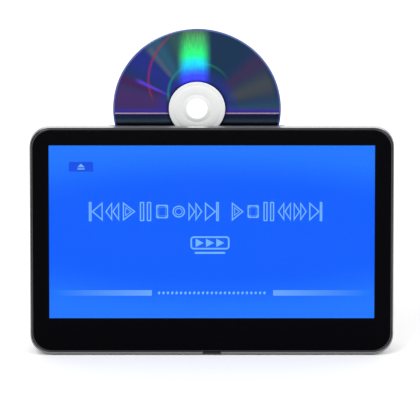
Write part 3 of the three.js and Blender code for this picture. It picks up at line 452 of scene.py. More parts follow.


# Painted streaks of diffracted light on the data side: centre angle clockwise from the top, change of that angle per
# millimetre of radius, half-width (both in degrees), inner and outer radius in millimetres, strength, colour.
PAINTED_LIGHT_STREAKS = (
    (-48.0, 0.0, 22.0, 20.0, 64.0, 0.95, (0.017, 0.025, 0.176)),
    (-30.0, 0.0, 13.0, 22.0, 64.0, 0.85, (0.024, 0.084, 0.134)),
    (-17.0, 0.0, 9.0, 26.0, 64.0, 0.80, (0.029, 0.080, 0.071)),
    (-82.0, 0.0, 26.0, 18.0, 64.0, 0.95, (0.049, 0.024, 0.105)),
    (-67.0, 0.0, 6.0, 24.0, 64.0, 0.60, (0.055, 0.010, 0.071)),
    (-37.0, 0.0, 4.5, 27.0, 60.0, 0.60, (0.076, 0.101, 0.134)),
    (-60.0, 2.24, 3.8, 31.0, 59.5, 0.65, (0.235, 0.017, 0.059)),
    (-63.5, 0.0, 3.0, 20.0, 50.0, 0.90, (0.084, 0.042, 0.521)),
    (26.0, 0.0, 26.0, 20.0, 64.0, 0.90, (0.011, 0.030, 0.063)),
    (52.0, 0.0, 12.0, 22.0, 64.0, 0.80, (0.040, 0.025, 0.066)),
    (70.0, 0.0, 17.0, 22.0, 60.0, 0.90, (0.045, 0.053, 0.057)),
    (92.0, 0.0, 15.0, 18.0, 64.0, 0.90, (0.022, 0.059, 0.105)),
    (0.0, 0.0, 400.0, 14.0, 31.0, 0.45, (0.017, 0.025, 0.218)),
)
# Colours of the painted beam of diffracted light above the hub, by share of the disc's radius.
BEAM_STOPS = (
    (0.42, (0.045, 0.060, 0.97)),
    (0.48, (0.025, 0.200, 0.95)),
    (0.56, (0.015, 0.560, 0.85)),
    (0.68, (0.025, 0.800, 0.19)),
    (0.83, (0.050, 0.430, 0.12)),
    (0.97, (0.060, 0.150, 0.085)),
)
BEAM_MIDDLE, BEAM_HALF, BEAM_CORE = -2.0, 13.0, 4.5  # millimetres across the beam
# The thin green arc is painted diffracted light.
ARC_CENTRE, ARC_RADIUS, ARC_HALF = (2.0, 0.0, 11.5), 22.5, 1.6  # thin green arc, in millimetres from the disc's centre
ARC_FADE = (48.0, 8.0)  # degrees between which the arc comes up
# Heights at which the painted reflection of the case's edge and the slot begins and ends below the disc's middle.
REFLECTED_LINE_FADE = (1.5, -2.4)  # heights in millimetres between which the lower pattern takes over
REFLECTED_BAND_FADE = (-24.0, -12.0)  # heights in millimetres between which the lower pattern comes up
HUB_SHADOW = (20.6, 22.6)  # radii in millimetres between which the shadow round the hub ends
# Painted reflection just below the disc's middle, by height as a share of its diameter: a thin bright line, the
# reflected edge of the case over the slot, above a dark band, the reflected slot.
PAINTED_REFLECTION_STOPS = (
    (0.30, (0.010, 0.014, 0.030)),
    (0.41, (0.070, 0.110, 0.130)),
    (0.440, (0.020, 0.030, 0.075)),
    (0.466, (0.012, 0.022, 0.070)),
    (0.469, (0.70, 0.50, 0.66)),
    (0.471, (0.70, 0.50, 0.66)),
    (0.475, (0.040, 0.028, 0.260)),
)


def disc_data_material(colours):
    """Data side: dark metal, its dark colour a painted reflection of a dark room, with painted colour streaks for the
    light that its fine spiral spreads and a painted reflection below its middle.
    """
    tree, shader = start_material("disc_data")
    offset = [-value / MM for value in DISC_CENTRE]
    inputs = {"Vector": object_place(tree), "Location": offset, "Scale": (1 / MM, 1 / MM, 1 / MM)}
    local = add_node(tree, "ShaderNodeMapping", {"vector_type": "POINT"}, inputs).outputs[0]
    parts = add_node(tree, "ShaderNodeSeparateXYZ", inputs={0: local}).outputs
    from_middle = math_node(tree, "ABSOLUTE", parts["Z"])
    angle = math_node(tree, "DEGREES", math_node(tree, "ARCTAN2", parts["X"], from_middle))
    flat = add_node(tree, "ShaderNodeCombineXYZ", inputs={"X": parts["X"], "Z": from_middle}).outputs[0]
    radius = vector_math(tree, "LENGTH", flat)

    upper = math_node(tree, "MULTIPLY", from_middle, 0.2, clamp=True)
    across = math_node(tree, "ABSOLUTE", math_node(tree, "SUBTRACT", parts["X"], BEAM_MIDDLE))
    beam = ranged(tree, across, BEAM_HALF, BEAM_CORE)
    fibres = vector_math(tree, "MULTIPLY", flat, (1.2, 0.0, 0.16))
    share = math_node(tree, "DIVIDE", radius, DISC_RADIUS)
    painted_beam_colour = mixed(tree, 0.55, ramped(tree, share, BEAM_STOPS), noise(tree, 1.0, 4.0, fibres), "OVERLAY")

    from_arc = vector_math(tree, "DISTANCE", flat, ARC_CENTRE)
    off_arc = math_node(tree, "ABSOLUTE", math_node(tree, "SUBTRACT", from_arc, ARC_RADIUS))
    arc = math_node(tree, "MULTIPLY", ranged(tree, off_arc, ARC_HALF, 0.0, 0.0, 0.55), upper)
    fading = ranged(tree, angle, *ARC_FADE, smooth=False)

    # Painted reflection of the case's edge and the dark slot below the disc's middle.
    level = multiply_add(tree, parts["Z"], 0.5 / DISC_RADIUS, 0.5)
    painted_reflection = ramped(tree, level, PAINTED_REFLECTION_STOPS)
    below_reflected_line = ranged(tree, parts["Z"], *REFLECTED_LINE_FADE)
    above_reflected_band = ranged(tree, parts["Z"], *REFLECTED_BAND_FADE)

    # Painted light over the painted dark base: streaks, arc and beam of diffracted light, the reflection below the
    # middle, then the shadow round the hub.
    shade = tuple(colours.disc_base)
    for centre, twist, width, inner, outer, strength, tint in PAINTED_LIGHT_STREAKS:
        values = {"Angle": angle, "Radius": radius, "Centre": centre, "Twist": twist}
        values.update({"Width": width, "Inner": inner, "Outer": outer})
        streak = placed_group(tree, "streak", values).outputs["Mask"]
        shade = mixed(tree, math_node(tree, "MULTIPLY", streak, strength), shade, tint)
    # Painted arc of diffracted light.
    shade = mixed(tree, math_node(tree, "MULTIPLY", arc, fading), shade, (0.010, 0.210, 0.130))
    # Painted beam of diffracted light above the hub.
    shade = mixed(tree, math_node(tree, "MULTIPLY", beam, upper), shade, painted_beam_colour)
    shade = mixed(tree, math_node(tree, "MULTIPLY", below_reflected_line, above_reflected_band), shade, painted_reflection)
    hub_shadow = ranged(tree, radius, *HUB_SHADOW, 0.75, 0.0, smooth=False)
    shade = mixed(tree, hub_shadow, shade, (0.006, 0.004, 0.045))

    spiral = add_node(tree, "ShaderNodeTexNoise", {"noise_dimensions": "1D"}, {"W": radius, "Scale": 3.0})
    gloss = ranged(tree, spiral.outputs["Fac"], 0.0, 1.0, 0.16, 0.28, smooth=False)
    set_inputs(tree, shader, {"Base Color": shade, "Roughness": gloss, "Metallic": 1.0})
    bump_into(tree, shader, spiral.outputs["Fac"], 0.05, 0.01 * MM)


def build_materials(context):
    """Every finish of the player, by name."""
    colours = context.scene.player_colours
    flake_paint("silver_paint", tuple(colours.silver))
    # A darker copy of the silver paint for the front frame, as painted shade.
    flake_paint("shaded_frame_silver", tuple(colours.shaded_frame_silver))
    lens_materials(colours)
    display_materials(colours)
    disc_data_material(colours)
    # Name, colour, roughness, spread of the roughness, scale of the grain, bump and wear, then the rest by name.
    for name, base, *numbers, more in (
        ("disc_hub", colours.disc_hub, 0.6, 0.1, 1800.0, 0.1, 0.1, {"tone": 0.03}),
        ("disc_rim", (0.030, 0.055, 0.240), 0.1, 0.04, 1800.0, 0.02, 0.1, {"coat": 0.3}),
        ("disc_label", (0.36, 0.37, 0.40), 0.4, 0.1, 2200.0, 0.08, 0.1, {"tone": 0.06, "coat": 0.2}),
        ("smoked_plastic", (0.0020, 0.0020, 0.0032), 0.3, 0.06, 1500.0, 0.03, 0.0, {"dust": 0.02}),
        ("dark_foam", (0.012, 0.012, 0.013), 0.9, 0.1, 1500.0, 0.8, 0.0, {}),
        ("black_plastic", (0.012, 0.012, 0.013), 0.48, {}),
        ("key_plastic", (0.010, 0.010, 0.011), 0.36, 0.14, 2600.0, 0.12, 0.45, {}),
        ("key_print", (0.62, 0.63, 0.65), 0.5, 0.1, 3000.0, 0.05, 0.0, {}),
        ("rubber", colours.rubber, 0.8, 0.16, 1400.0, 0.4, 0.2, {}),
        ("felt", colours.felt, 0.95, 0.05, 3800.0, 1.0, 0.35, {}),
        ("light_guide", (0.80, 0.85, 0.90), 0.2, 0.08, 1200.0, 0.03, 0.1, {}),
        ("ribbon_film", (0.42, 0.20, 0.045), 0.35, 0.1, 900.0, 0.05, 0.2, {}),
        ("board_green", (0.010, 0.080, 0.032), 0.38, 0.16, 700.0, 0.25, 0.2, {"worn": (0.25, 0.22, 0.10)}),
        ("chip_black", (0.014, 0.014, 0.016), 0.55, 0.1, 3000.0, 0.2, 0.15, {}),
        ("part_tan", (0.28, 0.19, 0.10), 0.5, 0.1, 3000.0, 0.1, 0.2, {}),
        ("battery_wrap", (0.020, 0.035, 0.085), 0.3, 0.14, 500.0, 0.12, 0.3, {"coat": 0.3}),
        ("acetal", (0.78, 0.78, 0.74), 0.42, 0.12, 2000.0, 0.08, 0.1, {}),
        ("speaker_cone", (0.030, 0.028, 0.026), 0.75, 0.15, 1600.0, 0.6, 0.1, {}),
    ):
        moulded(name, tuple(base), *numbers, **more)
    metal("steel", (0.56, 0.57, 0.58), 0.28)
    metal("screw_steel", (0.30, 0.30, 0.31), 0.34, (20.0, 1.0, 20.0))
    metal("sheet_metal", (0.66, 0.67, 0.69), 0.36, (1.0, 1.0, 30.0), 0.3, 0.08)
    metal("gold_contact", (0.86, 0.62, 0.22), 0.22)
    shader = moulded("optic_glass", (0.10, 0.22, 0.30), 0.05, 0.02, 900.0, 0.0, 0.0, coat=1.0)[1]
    shader.inputs["Specular IOR Level"].default_value = 0.8


# ---------- Mesh helpers ----------


def put(obj):
    """Puts an object in the scene."""
    bpy.context.collection.objects.link(obj)
    return obj


def mesh_of(bm, name):
    """Turns a bmesh into a mesh and frees it."""
    mesh = bpy.data.meshes.new(name)
    bm.to_mesh(mesh)
    bm.free()
    return mesh


def strip(bm, first, second, material=0):
    """Faces between two closed rows of as many corners."""
    for i in range(len(first)):
        following = (i + 1) % len(first)
        face = bm.faces.new((first[i], first[following], second[following], second[i]))
        face.material_index = material


def cad_copy(node):
    """A copy of a frame node's mesh as a merged bmesh with its flat faces joined."""
    bm = bmesh.new()
    bm.from_mesh(frame["nodes"][node].data)
    bmesh.ops.remove_doubles(bm, verts=bm.verts, dist=0.002 * MM)
    bmesh.ops.dissolve_limit(bm, angle_limit=math.radians(1.0), verts=bm.verts, edges=bm.edges)
    return bm


def smoothed(mesh, angle=35.0):
    """Shades a mesh smooth up to an angle."""
    mesh.shade_smooth()
    mesh.set_sharp_from_angle(angle=math.radians(angle))
    return mesh


def evaluated(obj):
    """The plain mesh that an object's modifiers make, with the object removed."""
    put(obj)
    graph = bpy.context.evaluated_depsgraph_get()
    mesh = bpy.data.meshes.new_from_object(obj.evaluated_get(graph))
    bpy.data.objects.remove(obj)
    return mesh


def edged(mesh, width):
    """Rounds a mesh's edges by a width and keeps its flat faces flat in shading."""
    if width > 0:
        obj = bpy.data.objects.new("edging", smoothed(mesh))
        bevel = obj.modifiers.new("Edge", "BEVEL")
        bevel.width = width
        bevel.segments = 2
        bevel.limit_method = "ANGLE"
        bevel.angle_limit = math.radians(35.0)
        bevel.harden_normals = True
        mesh = evaluated(obj)
    return mesh


def show(name, mesh, material_names, body, nodes=()):
    """Makes a piece of a mesh: its materials, the body it rides on and the nodes it stands for."""
    mesh.name = name
    if len(material_names) == 1:
        mesh.materials.clear()  # also sets every face to the one finish
    for material_name in material_names:
        mesh.materials.append(materials[material_name])
    obj = put(bpy.data.objects.new(name, mesh))
    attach(obj, body)
    if nodes:
        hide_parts(*nodes)


def show_for(node, mesh, *material_names):
    """A piece that stands for one frame node and rides where it rides."""
    show(f"{node}_piece", mesh, material_names, BODY_OF_NODE[node], (node,))


def show_on(node, name, mesh, *material_names):
    """An extra piece that rides with a frame node."""
    show(name, mesh, material_names, BODY_OF_NODE[node])


def refine(node, material_name, width):
    """A frame node's own shape with rounded edges."""
    show_for(node, edged(mesh_of(cad_copy(node), node), width), material_name)


def joined_mesh(meshes, name):
    """Several meshes of one finish as one."""
    bm = bmesh.new()
    for mesh in meshes:
        bm.from_mesh(mesh)
        bpy.data.meshes.remove(mesh)
    return mesh_of(bm, name)


def in_metres(points):
    """Points given in millimetres, in metres."""
    return [(across * MM, up * MM) for across, up in points]


def box_mesh(low, high, width):
    """A box between two corners with rounded edges."""
    bm = bmesh.new()
    bmesh.ops.create_cube(bm, size=1.0)
    size = Vector(high) - Vector(low)
    bmesh.ops.transform(bm, matrix=Matrix.Diagonal((*size, 1.0)), verts=bm.verts)
    bmesh.ops.translate(bm, vec=(Vector(high) + Vector(low)) / 2, verts=bm.verts)
    bmesh.ops.bevel(bm, geom=bm.edges, offset=width, segments=2, affect="EDGES", profile=0.5)
    return smoothed(mesh_of(bm, "box"))


def turned_mesh(profile, centre, axis, segments=64, materials_by_step=None):
    """A turned shape: profile lists (radius, height) points, closed on itself, and heights run along the axis."""
    along = Vector(axis)
    across = along.orthogonal().normalized()
    other = along.cross(across)
    bm = bmesh.new()
    rings = []
    for radius, height in profile:
        if radius < 1e-9:
            rings.append([bm.verts.new(Vector(centre) + along * height)] * segments)
            continue
        ring = []
        for step in range(segments):
            angle = 2 * math.pi * step / segments
            spoke = across * math.cos(angle) + other * math.sin(angle)
            ring.append(bm.verts.new(Vector(centre) + along * height + spoke * radius))
        rings.append(ring)
    for index, ring in enumerate(rings):
        after = rings[(index + 1) % len(rings)]
        for step in range(segments):
            following = (step + 1) % segments
            corners = []
            for vertex in (ring[step], ring[following], after[following], after[step]):
                if vertex not in corners:
                    corners.append(vertex)
            if len(corners) > 2:
                face = bm.faces.new(corners)
                face.material_index = materials_by_step[index] if materials_by_step else 0
    bmesh.ops.recalc_face_normals(bm, faces=bm.faces)
    return smoothed(mesh_of(bm, "turned"))


def rounded_outline(low, high, radius, steps=12):
    """Points of a rounded rectangle in X and Z, counter-clockwise as seen from the front."""
    points = []
    corners = (
        (high[0] - radius, high[1] - radius),
        (low[0] + radius, high[1] - radius),
        (low[0] + radius, low[1] + radius),
        (high[0] - radius, low[1] + radius),
    )
    for quarter, (x, z) in enumerate(corners):
        for step in range(steps + 1):
            angle = (quarter + step / steps) * math.pi / 2
            points.append((x + radius * math.cos(angle), z + radius * math.sin(angle)))
    return points


# ---------- Geometry Nodes helpers ----------


def bake_tree(tree, base_mesh, values):
    """Runs a geometry tree on a mesh with the given inputs and returns the plain result."""
    obj = bpy.data.objects.new("carrier", base_mesh)
    modifier = obj.modifiers.new("Repeat", "NODES")
    modifier.node_group = tree
    for item in tree.interface.items_tree:
        if item.in_out == "INPUT" and item.name in values:
            modifier[item.identifier] = values[item.name]
    return evaluated(obj)


def geometry_tree(name, inputs):
    """An empty geometry tree with a geometry input and output and the given named inputs."""
    return new_group(
        name, "GeometryNodeTree", [("Geometry", GEOMETRY, None), *inputs], [("Geometry", GEOMETRY, None)]
    )


def end_tree(tree, result, geometry, material_name):
    """Ends a tree with real copies that carry a material."""
    real = add_node(tree, "GeometryNodeRealizeInstances", inputs={"Geometry": geometry})
    named = add_node(tree, "GeometryNodeSetMaterial", inputs={"Geometry": real.outputs[0]})
    named.inputs["Material"].default_value = materials[material_name]
    tree.links.new(named.outputs[0], result.inputs["Geometry"])


def points_mesh(points):
    """A mesh of loose points that instances are placed on."""
    mesh = bpy.data.meshes.new("points")
    mesh.from_pydata([tuple(point) for point in points], [], [])
    return mesh


def instanced_tree(name, material_name, shape):
    """A tree that puts one shape on every point of its mesh; shape(tree) returns the geometry to repeat."""
    tree, given, result = geometry_tree(name, [])
    placed = add_node(
        tree,
        "GeometryNodeInstanceOnPoints",
        inputs={"Points": given.outputs["Geometry"], "Instance": shape(tree)},
    )
    end_tree(tree, result, placed.outputs[0], material_name)
    return tree


def on_points(tree, points, instance, **inputs):
    """One geometry repeated on points."""
    inputs.update({"Points": points, "Instance": instance})
    return add_node(tree, "GeometryNodeInstanceOnPoints", inputs=inputs).outputs[0]


def moved(tree, geometry, **inputs):
    """A geometry with a Translation, a Rotation or a Scale."""
    return add_node(tree, "GeometryNodeTransform", inputs={"Geometry": geometry, **inputs}).outputs[0]


def together(tree, *geometries):
    """Several geometries as one."""
    node = add_node(tree, "GeometryNodeJoinGeometry")
    for geometry in geometries:
        tree.links.new(geometry, node.inputs[0])
    return node.outputs[0]


def primitive(tree, kind, settings=None, **inputs):
    """A basic mesh, such as a Cube or a Cylinder."""
    return add_node(tree, f"GeometryNodeMesh{kind}", settings, inputs).outputs["Mesh"]


def helix_tree(material_name):
    """A screw thread along +Z: a coiled ridge round a core."""
    sockets = [("Length", FLOAT, 0.08), ("Core radius", FLOAT, 0.0009)]
    sockets += [("Outer radius", FLOAT, 0.0012), ("Pitch", FLOAT, 0.003)]
    tree, given, result = geometry_tree("Screw thread", sockets)
    out = given.outputs
    core_radius, outer_radius = out["Core radius"], out["Outer radius"]
    turns = math_node(tree, "DIVIDE", out["Length"], out["Pitch"])
    middle = math_node(tree, "MULTIPLY", math_node(tree, "ADD", core_radius, outer_radius), 0.5)
    ridge = math_node(tree, "MULTIPLY", math_node(tree, "SUBTRACT", outer_radius, core_radius), 0.5)
    height = math_node(tree, "SUBTRACT", out["Length"], math_node(tree, "MULTIPLY", ridge, 2.0))
    values = {"Resolution": 24, "Rotations": turns, "Start Radius": middle, "End Radius": middle, "Height": height}
    spiral = add_node(tree, "GeometryNodeCurveSpiral", inputs=values).outputs[0]
    section = add_node(tree, "GeometryNodeCurvePrimitiveCircle", inputs={"Resolution": 6, "Radius": ridge})
    values = {"Curve": spiral, "Profile Curve": section.outputs[0], "Fill Caps": True}
    thread = add_node(tree, "GeometryNodeCurveToMesh", inputs=values).outputs[0]
    core = primitive(tree, "Cylinder", Vertices=24, Radius=core_radius, Depth=out["Length"])
    half = add_node(tree, "ShaderNodeCombineXYZ", inputs={"Z": math_node(tree, "MULTIPLY", out["Length"], 0.5)})
    raised = moved(tree, core, Translation=half.outputs[0])
    end_tree(tree, result, together(tree, thread, raised), material_name)
    return tree


# ---------- Display ----------


def display_middle_height():
    """Height of the middle of the lit area above the floor."""
    sizes = bpy.context.scene.player_sizes
    return LENS_LOW.z + sizes.display_rise + sizes.display_height / 2


LENS_CORNER = 13.5 * MM
LENS_STEPS = 4  # steps of the rounding round the lens's front edge


def build_lens(sizes):
    """The front lens: a rounded slab with a clear window, black print around it and a ground edge."""
    edge = sizes.lens_edge
    middle = display_middle_height()
    half = (sizes.display_width / 2, sizes.display_height / 2)
    outer = rounded_outline((LENS_LOW.x, LENS_LOW.z), (LENS_HIGH.x, LENS_HIGH.z), LENS_CORNER)
    window = rounded_outline((-half[0], middle - half[1]), (half[0], middle + half[1]), 0.4 * MM)
    centre = Vector(((LENS_LOW.x + LENS_HIGH.x) / 2, 0, (LENS_LOW.z + LENS_HIGH.z) / 2))
    layers = [(window, LENS_LOW.y, 0.0)]  # outline, depth and how far it is drawn in
    for step in reversed(range(LENS_STEPS + 1)):
        angle = math.pi / 2 * step / LENS_STEPS
        layers.append((outer, LENS_LOW.y + edge * (1 - math.sin(angle)), edge * (1 - math.cos(angle))))
    layers += [(outer, LENS_HIGH.y, 0.0), (window, LENS_HIGH.y, 0.0)]
    bm = bmesh.new()
    rings = []
    for outline, depth, inset in layers:
        ring = []
        for x, z in outline:
            shift = Vector((math.copysign(1, centre.x - x), 0, math.copysign(1, centre.z - z))) * inset
            ring.append(bm.verts.new(Vector((x, depth, z)) + shift))
        rings.append(ring)
    print_number, window_number, edge_number = range(3)
    for index, (first, second) in enumerate(zip(rings, rings[1:])):
        strip(bm, first, second, edge_number if 1 <= index <= LENS_STEPS + 1 else print_number)
    for ring in (rings[0], rings[-1]):
        bm.faces.new(ring).material_index = window_number
    bmesh.ops.recalc_face_normals(bm, faces=bm.faces)
    show_for("front_lens", smoothed(mesh_of(bm, "lens"), 30.0), "lens_black", "lens_window", "lens_edge")


def flat_shape(outlines, depth, thickness):
    """Thin plates in the X-Z plane from closed outlines; an outline pair (outer, inner) makes a ring."""
    bm = bmesh.new()
    for outer, inner in outlines:
        levels = []
        for y in (depth, depth + thickness):
            levels.append([[bm.verts.new((x, y, z)) for x, z in line] for line in (outer, inner) if line])
        for front, back in zip(*levels):
            strip(bm, front, back)
        for level in levels:
            if len(level) == 1:
                bm.faces.new(level[0])
            else:
                strip(bm, *level)
    bmesh.ops.recalc_face_normals(bm, faces=bm.faces)
    return mesh_of(bm, "flat")


def inset_outline(outline, width):
    """An outline drawn in by a width along the mitre of each corner."""
    count = len(outline)
    area = sum(
        outline[i][0] * outline[(i + 1) % count][1] - outline[(i + 1) % count][0] * outline[i][1]
        for i in range(count)
    )
    sign = 1 if area > 0 else -1
    result = []
    for i in range(count):
        before, here, after = (Vector(outline[(i + k) % count]) for k in (-1, 0, 1))
        first = (here - before).normalized()
        second = (after - here).normalized()
        mitre = (Vector((-first.y, first.x)) + Vector((-second.y, second.x))).normalized()
        share = max(0.35, mitre.dot(Vector((-first.y, first.x))))
        result.append(tuple(here + sign * mitre * width / share))
    return result


def circle(x, z, radius, steps=32):
    """Points of a circle."""
    turns = [2 * math.pi * step / steps for step in range(steps)]
    return [(x + radius * math.cos(turn), z + radius * math.sin(turn)) for turn in turns]


def triangle(x, z, width, height, direction=1):
    """A triangle that points along X, with its middle at a place."""
    points = [(-0.5, -0.5), (0.5, 0.0), (-0.5, 0.5)]
    return [(x + direction * width * px, z + height * pz) for px, pz in points][::direction]


def bar_shape(x, z, width, height, corner=0.0):
    """A bar with its middle at a place, with rounded corners if asked."""
    low, high = (x - width / 2, z - height / 2), (x + width / 2, z + height / 2)
    if corner > 0:
        return rounded_outline(low, high, corner, 4)
    return [low, (high[0], low[1]), high, (low[0], high[1])]


def stack(x, z, width, height, pieces):
    """Outlines of a media symbol: each piece is (kind, place, share of the width)."""
    outlines = []
    for kind, place, share in pieces:
        middle = x + place * width
        if kind == "bar":
            outlines.append(bar_shape(middle, z, share * width, height, 0.12 * width * share))
        elif kind == "round":
            outlines.append(circle(middle, z, share * width / 2))
        elif kind == "square":
            outlines.append(bar_shape(middle, z, share * width, share * width * 1.2, 0.08 * width))
        else:
            outlines.append(triangle(middle, z, share * width, height, 1 if kind == "right" else -1))
    return outlines


SYMBOLS = {
    "previous": (("bar", -0.40, 0.20), ("left", 0.10, 0.80)),
    "back": (("left", -0.26, 0.50), ("left", 0.24, 0.50)),
    "play": (("right", 0.02, 0.92),),
    "pause": (("bar", -0.25, 0.32), ("bar", 0.25, 0.32)),
    "stop": (("square", 0.0, 0.85),),
    "record": (("round", 0.0, 0.90),),
    "forward": (("right", -0.24, 0.50), ("right", 0.26, 0.50)),
    "next": (("right", -0.10, 0.80), ("bar", 0.40, 0.20)),
}
FIRST_ROW = ("previous", "back", "play", "pause", "stop", "record", "forward", "next")
SECOND_ROW = ("play", "stop", "pause", "back", "forward", "next")
FILLED = ("play", "stop", "record")  # symbols with a second line inside the first


def build_display(sizes):
    """The lit panel and the symbols that it shows."""
    low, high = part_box("lcd_panel")
    show_for("lcd_panel", box_mesh(low, high, 0.15 * MM), "display_glow")
    thickness = 0.08 * MM
    depth = low.y - 0.04 * MM - thickness
    middle = display_middle_height()
    stroke = sizes.symbol_stroke

    title_height = middle + 15.2 * MM
    title_size = 14.6 * MM
    shapes = []  # an outline and its inner line, or no inner line for a filled shape
    for names, start, end in ((FIRST_ROW, -89.0 * MM, 6.0 * MM), (SECOND_ROW, 12.8 * MM, 80.0 * MM)):
        step = (end - start) / len(names)
        for index, name in enumerate(names):
            x = start + step * (index + 0.5)
            for outline in stack(x, title_height, 0.84 * step, title_size, SYMBOLS[name]):
                shapes.append((outline, inset_outline(outline, stroke)))
                if name in FILLED:
                    inner = inset_outline(outline, 2.0 * stroke)
                    shapes.append((inner, inset_outline(inner, 0.6 * stroke)))
    mark_x, mark_z = -1.3 * MM, middle - 8.6 * MM
    ring = rounded_outline((mark_x - 14 * MM, mark_z - 5 * MM), (mark_x + 14 * MM, mark_z + 5 * MM), 2.4 * MM, 8)
    shapes.append((ring, inset_outline(ring, 1.2 * MM)))
    shapes += [(triangle(mark_x + x * MM, mark_z, 5.8 * MM, 6.4 * MM), None) for x in (-7.4, 0.0, 7.4)]
    shapes.append((bar_shape(mark_x, mark_z - 7.6 * MM, 22 * MM, 1.5 * MM, 0.6 * MM), None))
    show_on("lcd_panel", "display_symbols", flat_shape(shapes, depth, thickness), "symbol_glow")

    foot_z = middle - 46.7 * MM
    bars = []
    for start, end in ((-115.0, -43.0), (44.0, 115.0)):
        bars.append((bar_shape((start + end) / 2 * MM, foot_z, (end - start) * MM, 4.2 * MM), None))
    show_on("lcd_panel", "display_bars", flat_shape(bars, depth, thickness), "bar_glow")
    tree = instanced_tree("Display dots", "symbol_glow", dot_shape)
    places = [(x * 3.15 * MM, depth + thickness / 2, foot_z) for x in range(-12, 13)]
    show_on("lcd_panel", "display_dots", bake_tree(tree, points_mesh(places), {}), "symbol_glow")

    label_low = (-102.2 * MM, middle + 45.4 * MM)
    label_high = (-84.8 * MM, middle + 52.8 * MM)
    label = rounded_outline(label_low, label_high, 0.6 * MM, 4)
    plate = flat_shape([(label, None)], depth + 0.5 * thickness, 0.5 * thickness)
    show_on("lcd_panel", "display_label", plate, "label_glow")
    x = (label_low[0] + label_high[0]) / 2
    z = (label_low[1] + label_high[1]) / 2
    eject = [(x - 2.6 * MM, z - 0.3 * MM), (x + 2.6 * MM, z - 0.3 * MM), (x, z + 2.4 * MM)]
    line = bar_shape(x, z - 1.6 * MM, 5.2 * MM, 0.9 * MM)
    marks = flat_shape([(eject, None), (line, None)], depth - 0.2 * thickness, 0.4 * thickness)
    show_on("lcd_panel", "display_eject", marks, "symbol_glow")


def dot_shape(tree):
    """One diamond dot of the display's dotted line."""
    dot = primitive(tree, "IcoSphere", Radius=1.25 * MM, Subdivisions=1)
    return moved(tree, dot, Scale=(0.8, 0.03, 1.0))


# ---------- Disc ----------


def build_disc(sizes):
    """The disc: frosted hub with two shallow grooves, mirrored data zone, clear rim and label side."""
    groove, sunk, chamfer = 0.12, 0.02, 0.25
    thickness = (DISC_HIGH.y - DISC_LOW.y) / MM
    outer = (DISC_HIGH.x - DISC_LOW.x) / 2 / MM
    hub, data, rim, label = range(4)
    # Radius and depth in millimetres, from the hole along the data side and back along the label side.
    zones = (
        (hub, ((7.5, chamfer), (7.7, 0.0), (9.6, 0.0), (9.9, groove), (10.6, groove), (10.9, 0.0), (16.4, 0.0))),
        (hub, ((16.7, 0.0), (17.0, groove), (17.5, groove), (17.8, 0.0), (19.8, 0.0))),
        (data, ((20.1, sunk), (30.0, sunk), (40.0, sunk), (50.0, sunk))),
        (rim, ((58.9, sunk), (59.7, sunk), (outer, chamfer), (outer, thickness - chamfer))),
        (label, ((59.7, thickness),)),
        (hub, ((22.0, thickness), (7.7, thickness), (7.5, thickness - chamfer))),
    )
    profile = in_metres((radius, depth - thickness / 2) for _, points in zones for radius, depth in points)
    by_step = [number for number, points in zones for _ in points]
    mesh = turned_mesh(profile, DISC_CENTRE, (0, 1, 0), sizes.disc_segments, by_step)
    show_for("disc", mesh, "disc_hub", "disc_data", "disc_rim", "disc_label")


# ---------- Case ----------


def build_case(sizes):
    """Silver frame, rear cover, the window in the lower lip and the gasket behind the lens."""
    refine("front_frame", "shaded_frame_silver", sizes.case_edge)
    refine("rear_cover", "silver_paint", sizes.case_edge)
    refine("ir_window", "smoked_plastic", sizes.small_edge)
    refine("lens_gasket", "dark_foam", 0.0)
    refine("slot_bezel", "black_plastic", sizes.small_edge)


FELT_SEED = 7


def felt_tree():
    """Nap of a felt lip: short hairs scattered over its faces."""
    sockets = [("Density", FLOAT, 1.0e6), ("Hair length", FLOAT, 0.0004), ("Hair radius", FLOAT, 0.00005)]
    tree, given, result = geometry_tree("Felt nap", sockets)
    out = given.outputs
    values = {"Mesh": out["Geometry"], "Density": out["Density"], "Seed": FELT_SEED}
    spots = add_node(tree, "GeometryNodeDistributePointsOnFaces", inputs=values).outputs
    values = {"Vertices": 3, "Radius Top": 0.0, "Radius Bottom": out["Hair radius"], "Depth": out["Hair length"]}
    hair = primitive(tree, "Cone", {"fill_type": "NGON"}, **values)
    nap = on_points(tree, spots["Points"], hair, Rotation=spots["Rotation"])
    end_tree(tree, result, together(tree, out["Geometry"], nap), "felt")
    return tree


def build_felts():
    """Felt lips on both sides of the disc, with a short nap."""
    tree = felt_tree()
    values = {"Density": 2.2e6, "Hair length": 0.35 * MM, "Hair radius": 0.04 * MM}
    room = Vector((0, 0.1 * MM, 0))  # for the nap
    for node in ("slot_felt_front", "slot_felt_rear"):
        low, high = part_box(node)
        show_for(node, bake_tree(tree, box_mesh(low + room, high - room, 0.2 * MM), values), "felt")


def rib_shape(size, crease):
    """A rounded rib of a size, as a Geometry Nodes shape."""

    def shape(tree):
        values = {"Mesh": primitive(tree, "Cube", Size=size), "Level": 2, "Edge Crease": crease}
        return add_node(tree, "GeometryNodeSubdivisionSurface", inputs=values).outputs[0]

    return shape


def carved(mesh, cutter):
    """A mesh with the room of another mesh cut out of it."""
    obj = bpy.data.objects.new("carving", mesh)
    tool = put(bpy.data.objects.new("cutter", cutter))
    cut = obj.modifiers.new("Cut", "BOOLEAN")
    cut.object = tool
    cut.operation = "DIFFERENCE"
    cut.solver = "EXACT"
    result = evaluated(obj)
    bpy.data.objects.remove(tool)
    return result


def cleaned(mesh):
    """A mesh without faces and edges that have shrunk to nothing."""
    bm = bmesh.new()
    bm.from_mesh(mesh)
    bmesh.ops.dissolve_degenerate(bm, dist=0.002 * MM, edges=bm.edges)
    bm.to_mesh(mesh)
    bm.free()
    return mesh


def ribs_mesh(name, material_name, size, places, crease=0.7):
    """Ribs of one size at given places."""
    tree = instanced_tree(name, material_name, rib_shape(size, crease))
    return bake_tree(tree, points_mesh(places), {})

STAND_RIB_PITCH = 2.4 * MM


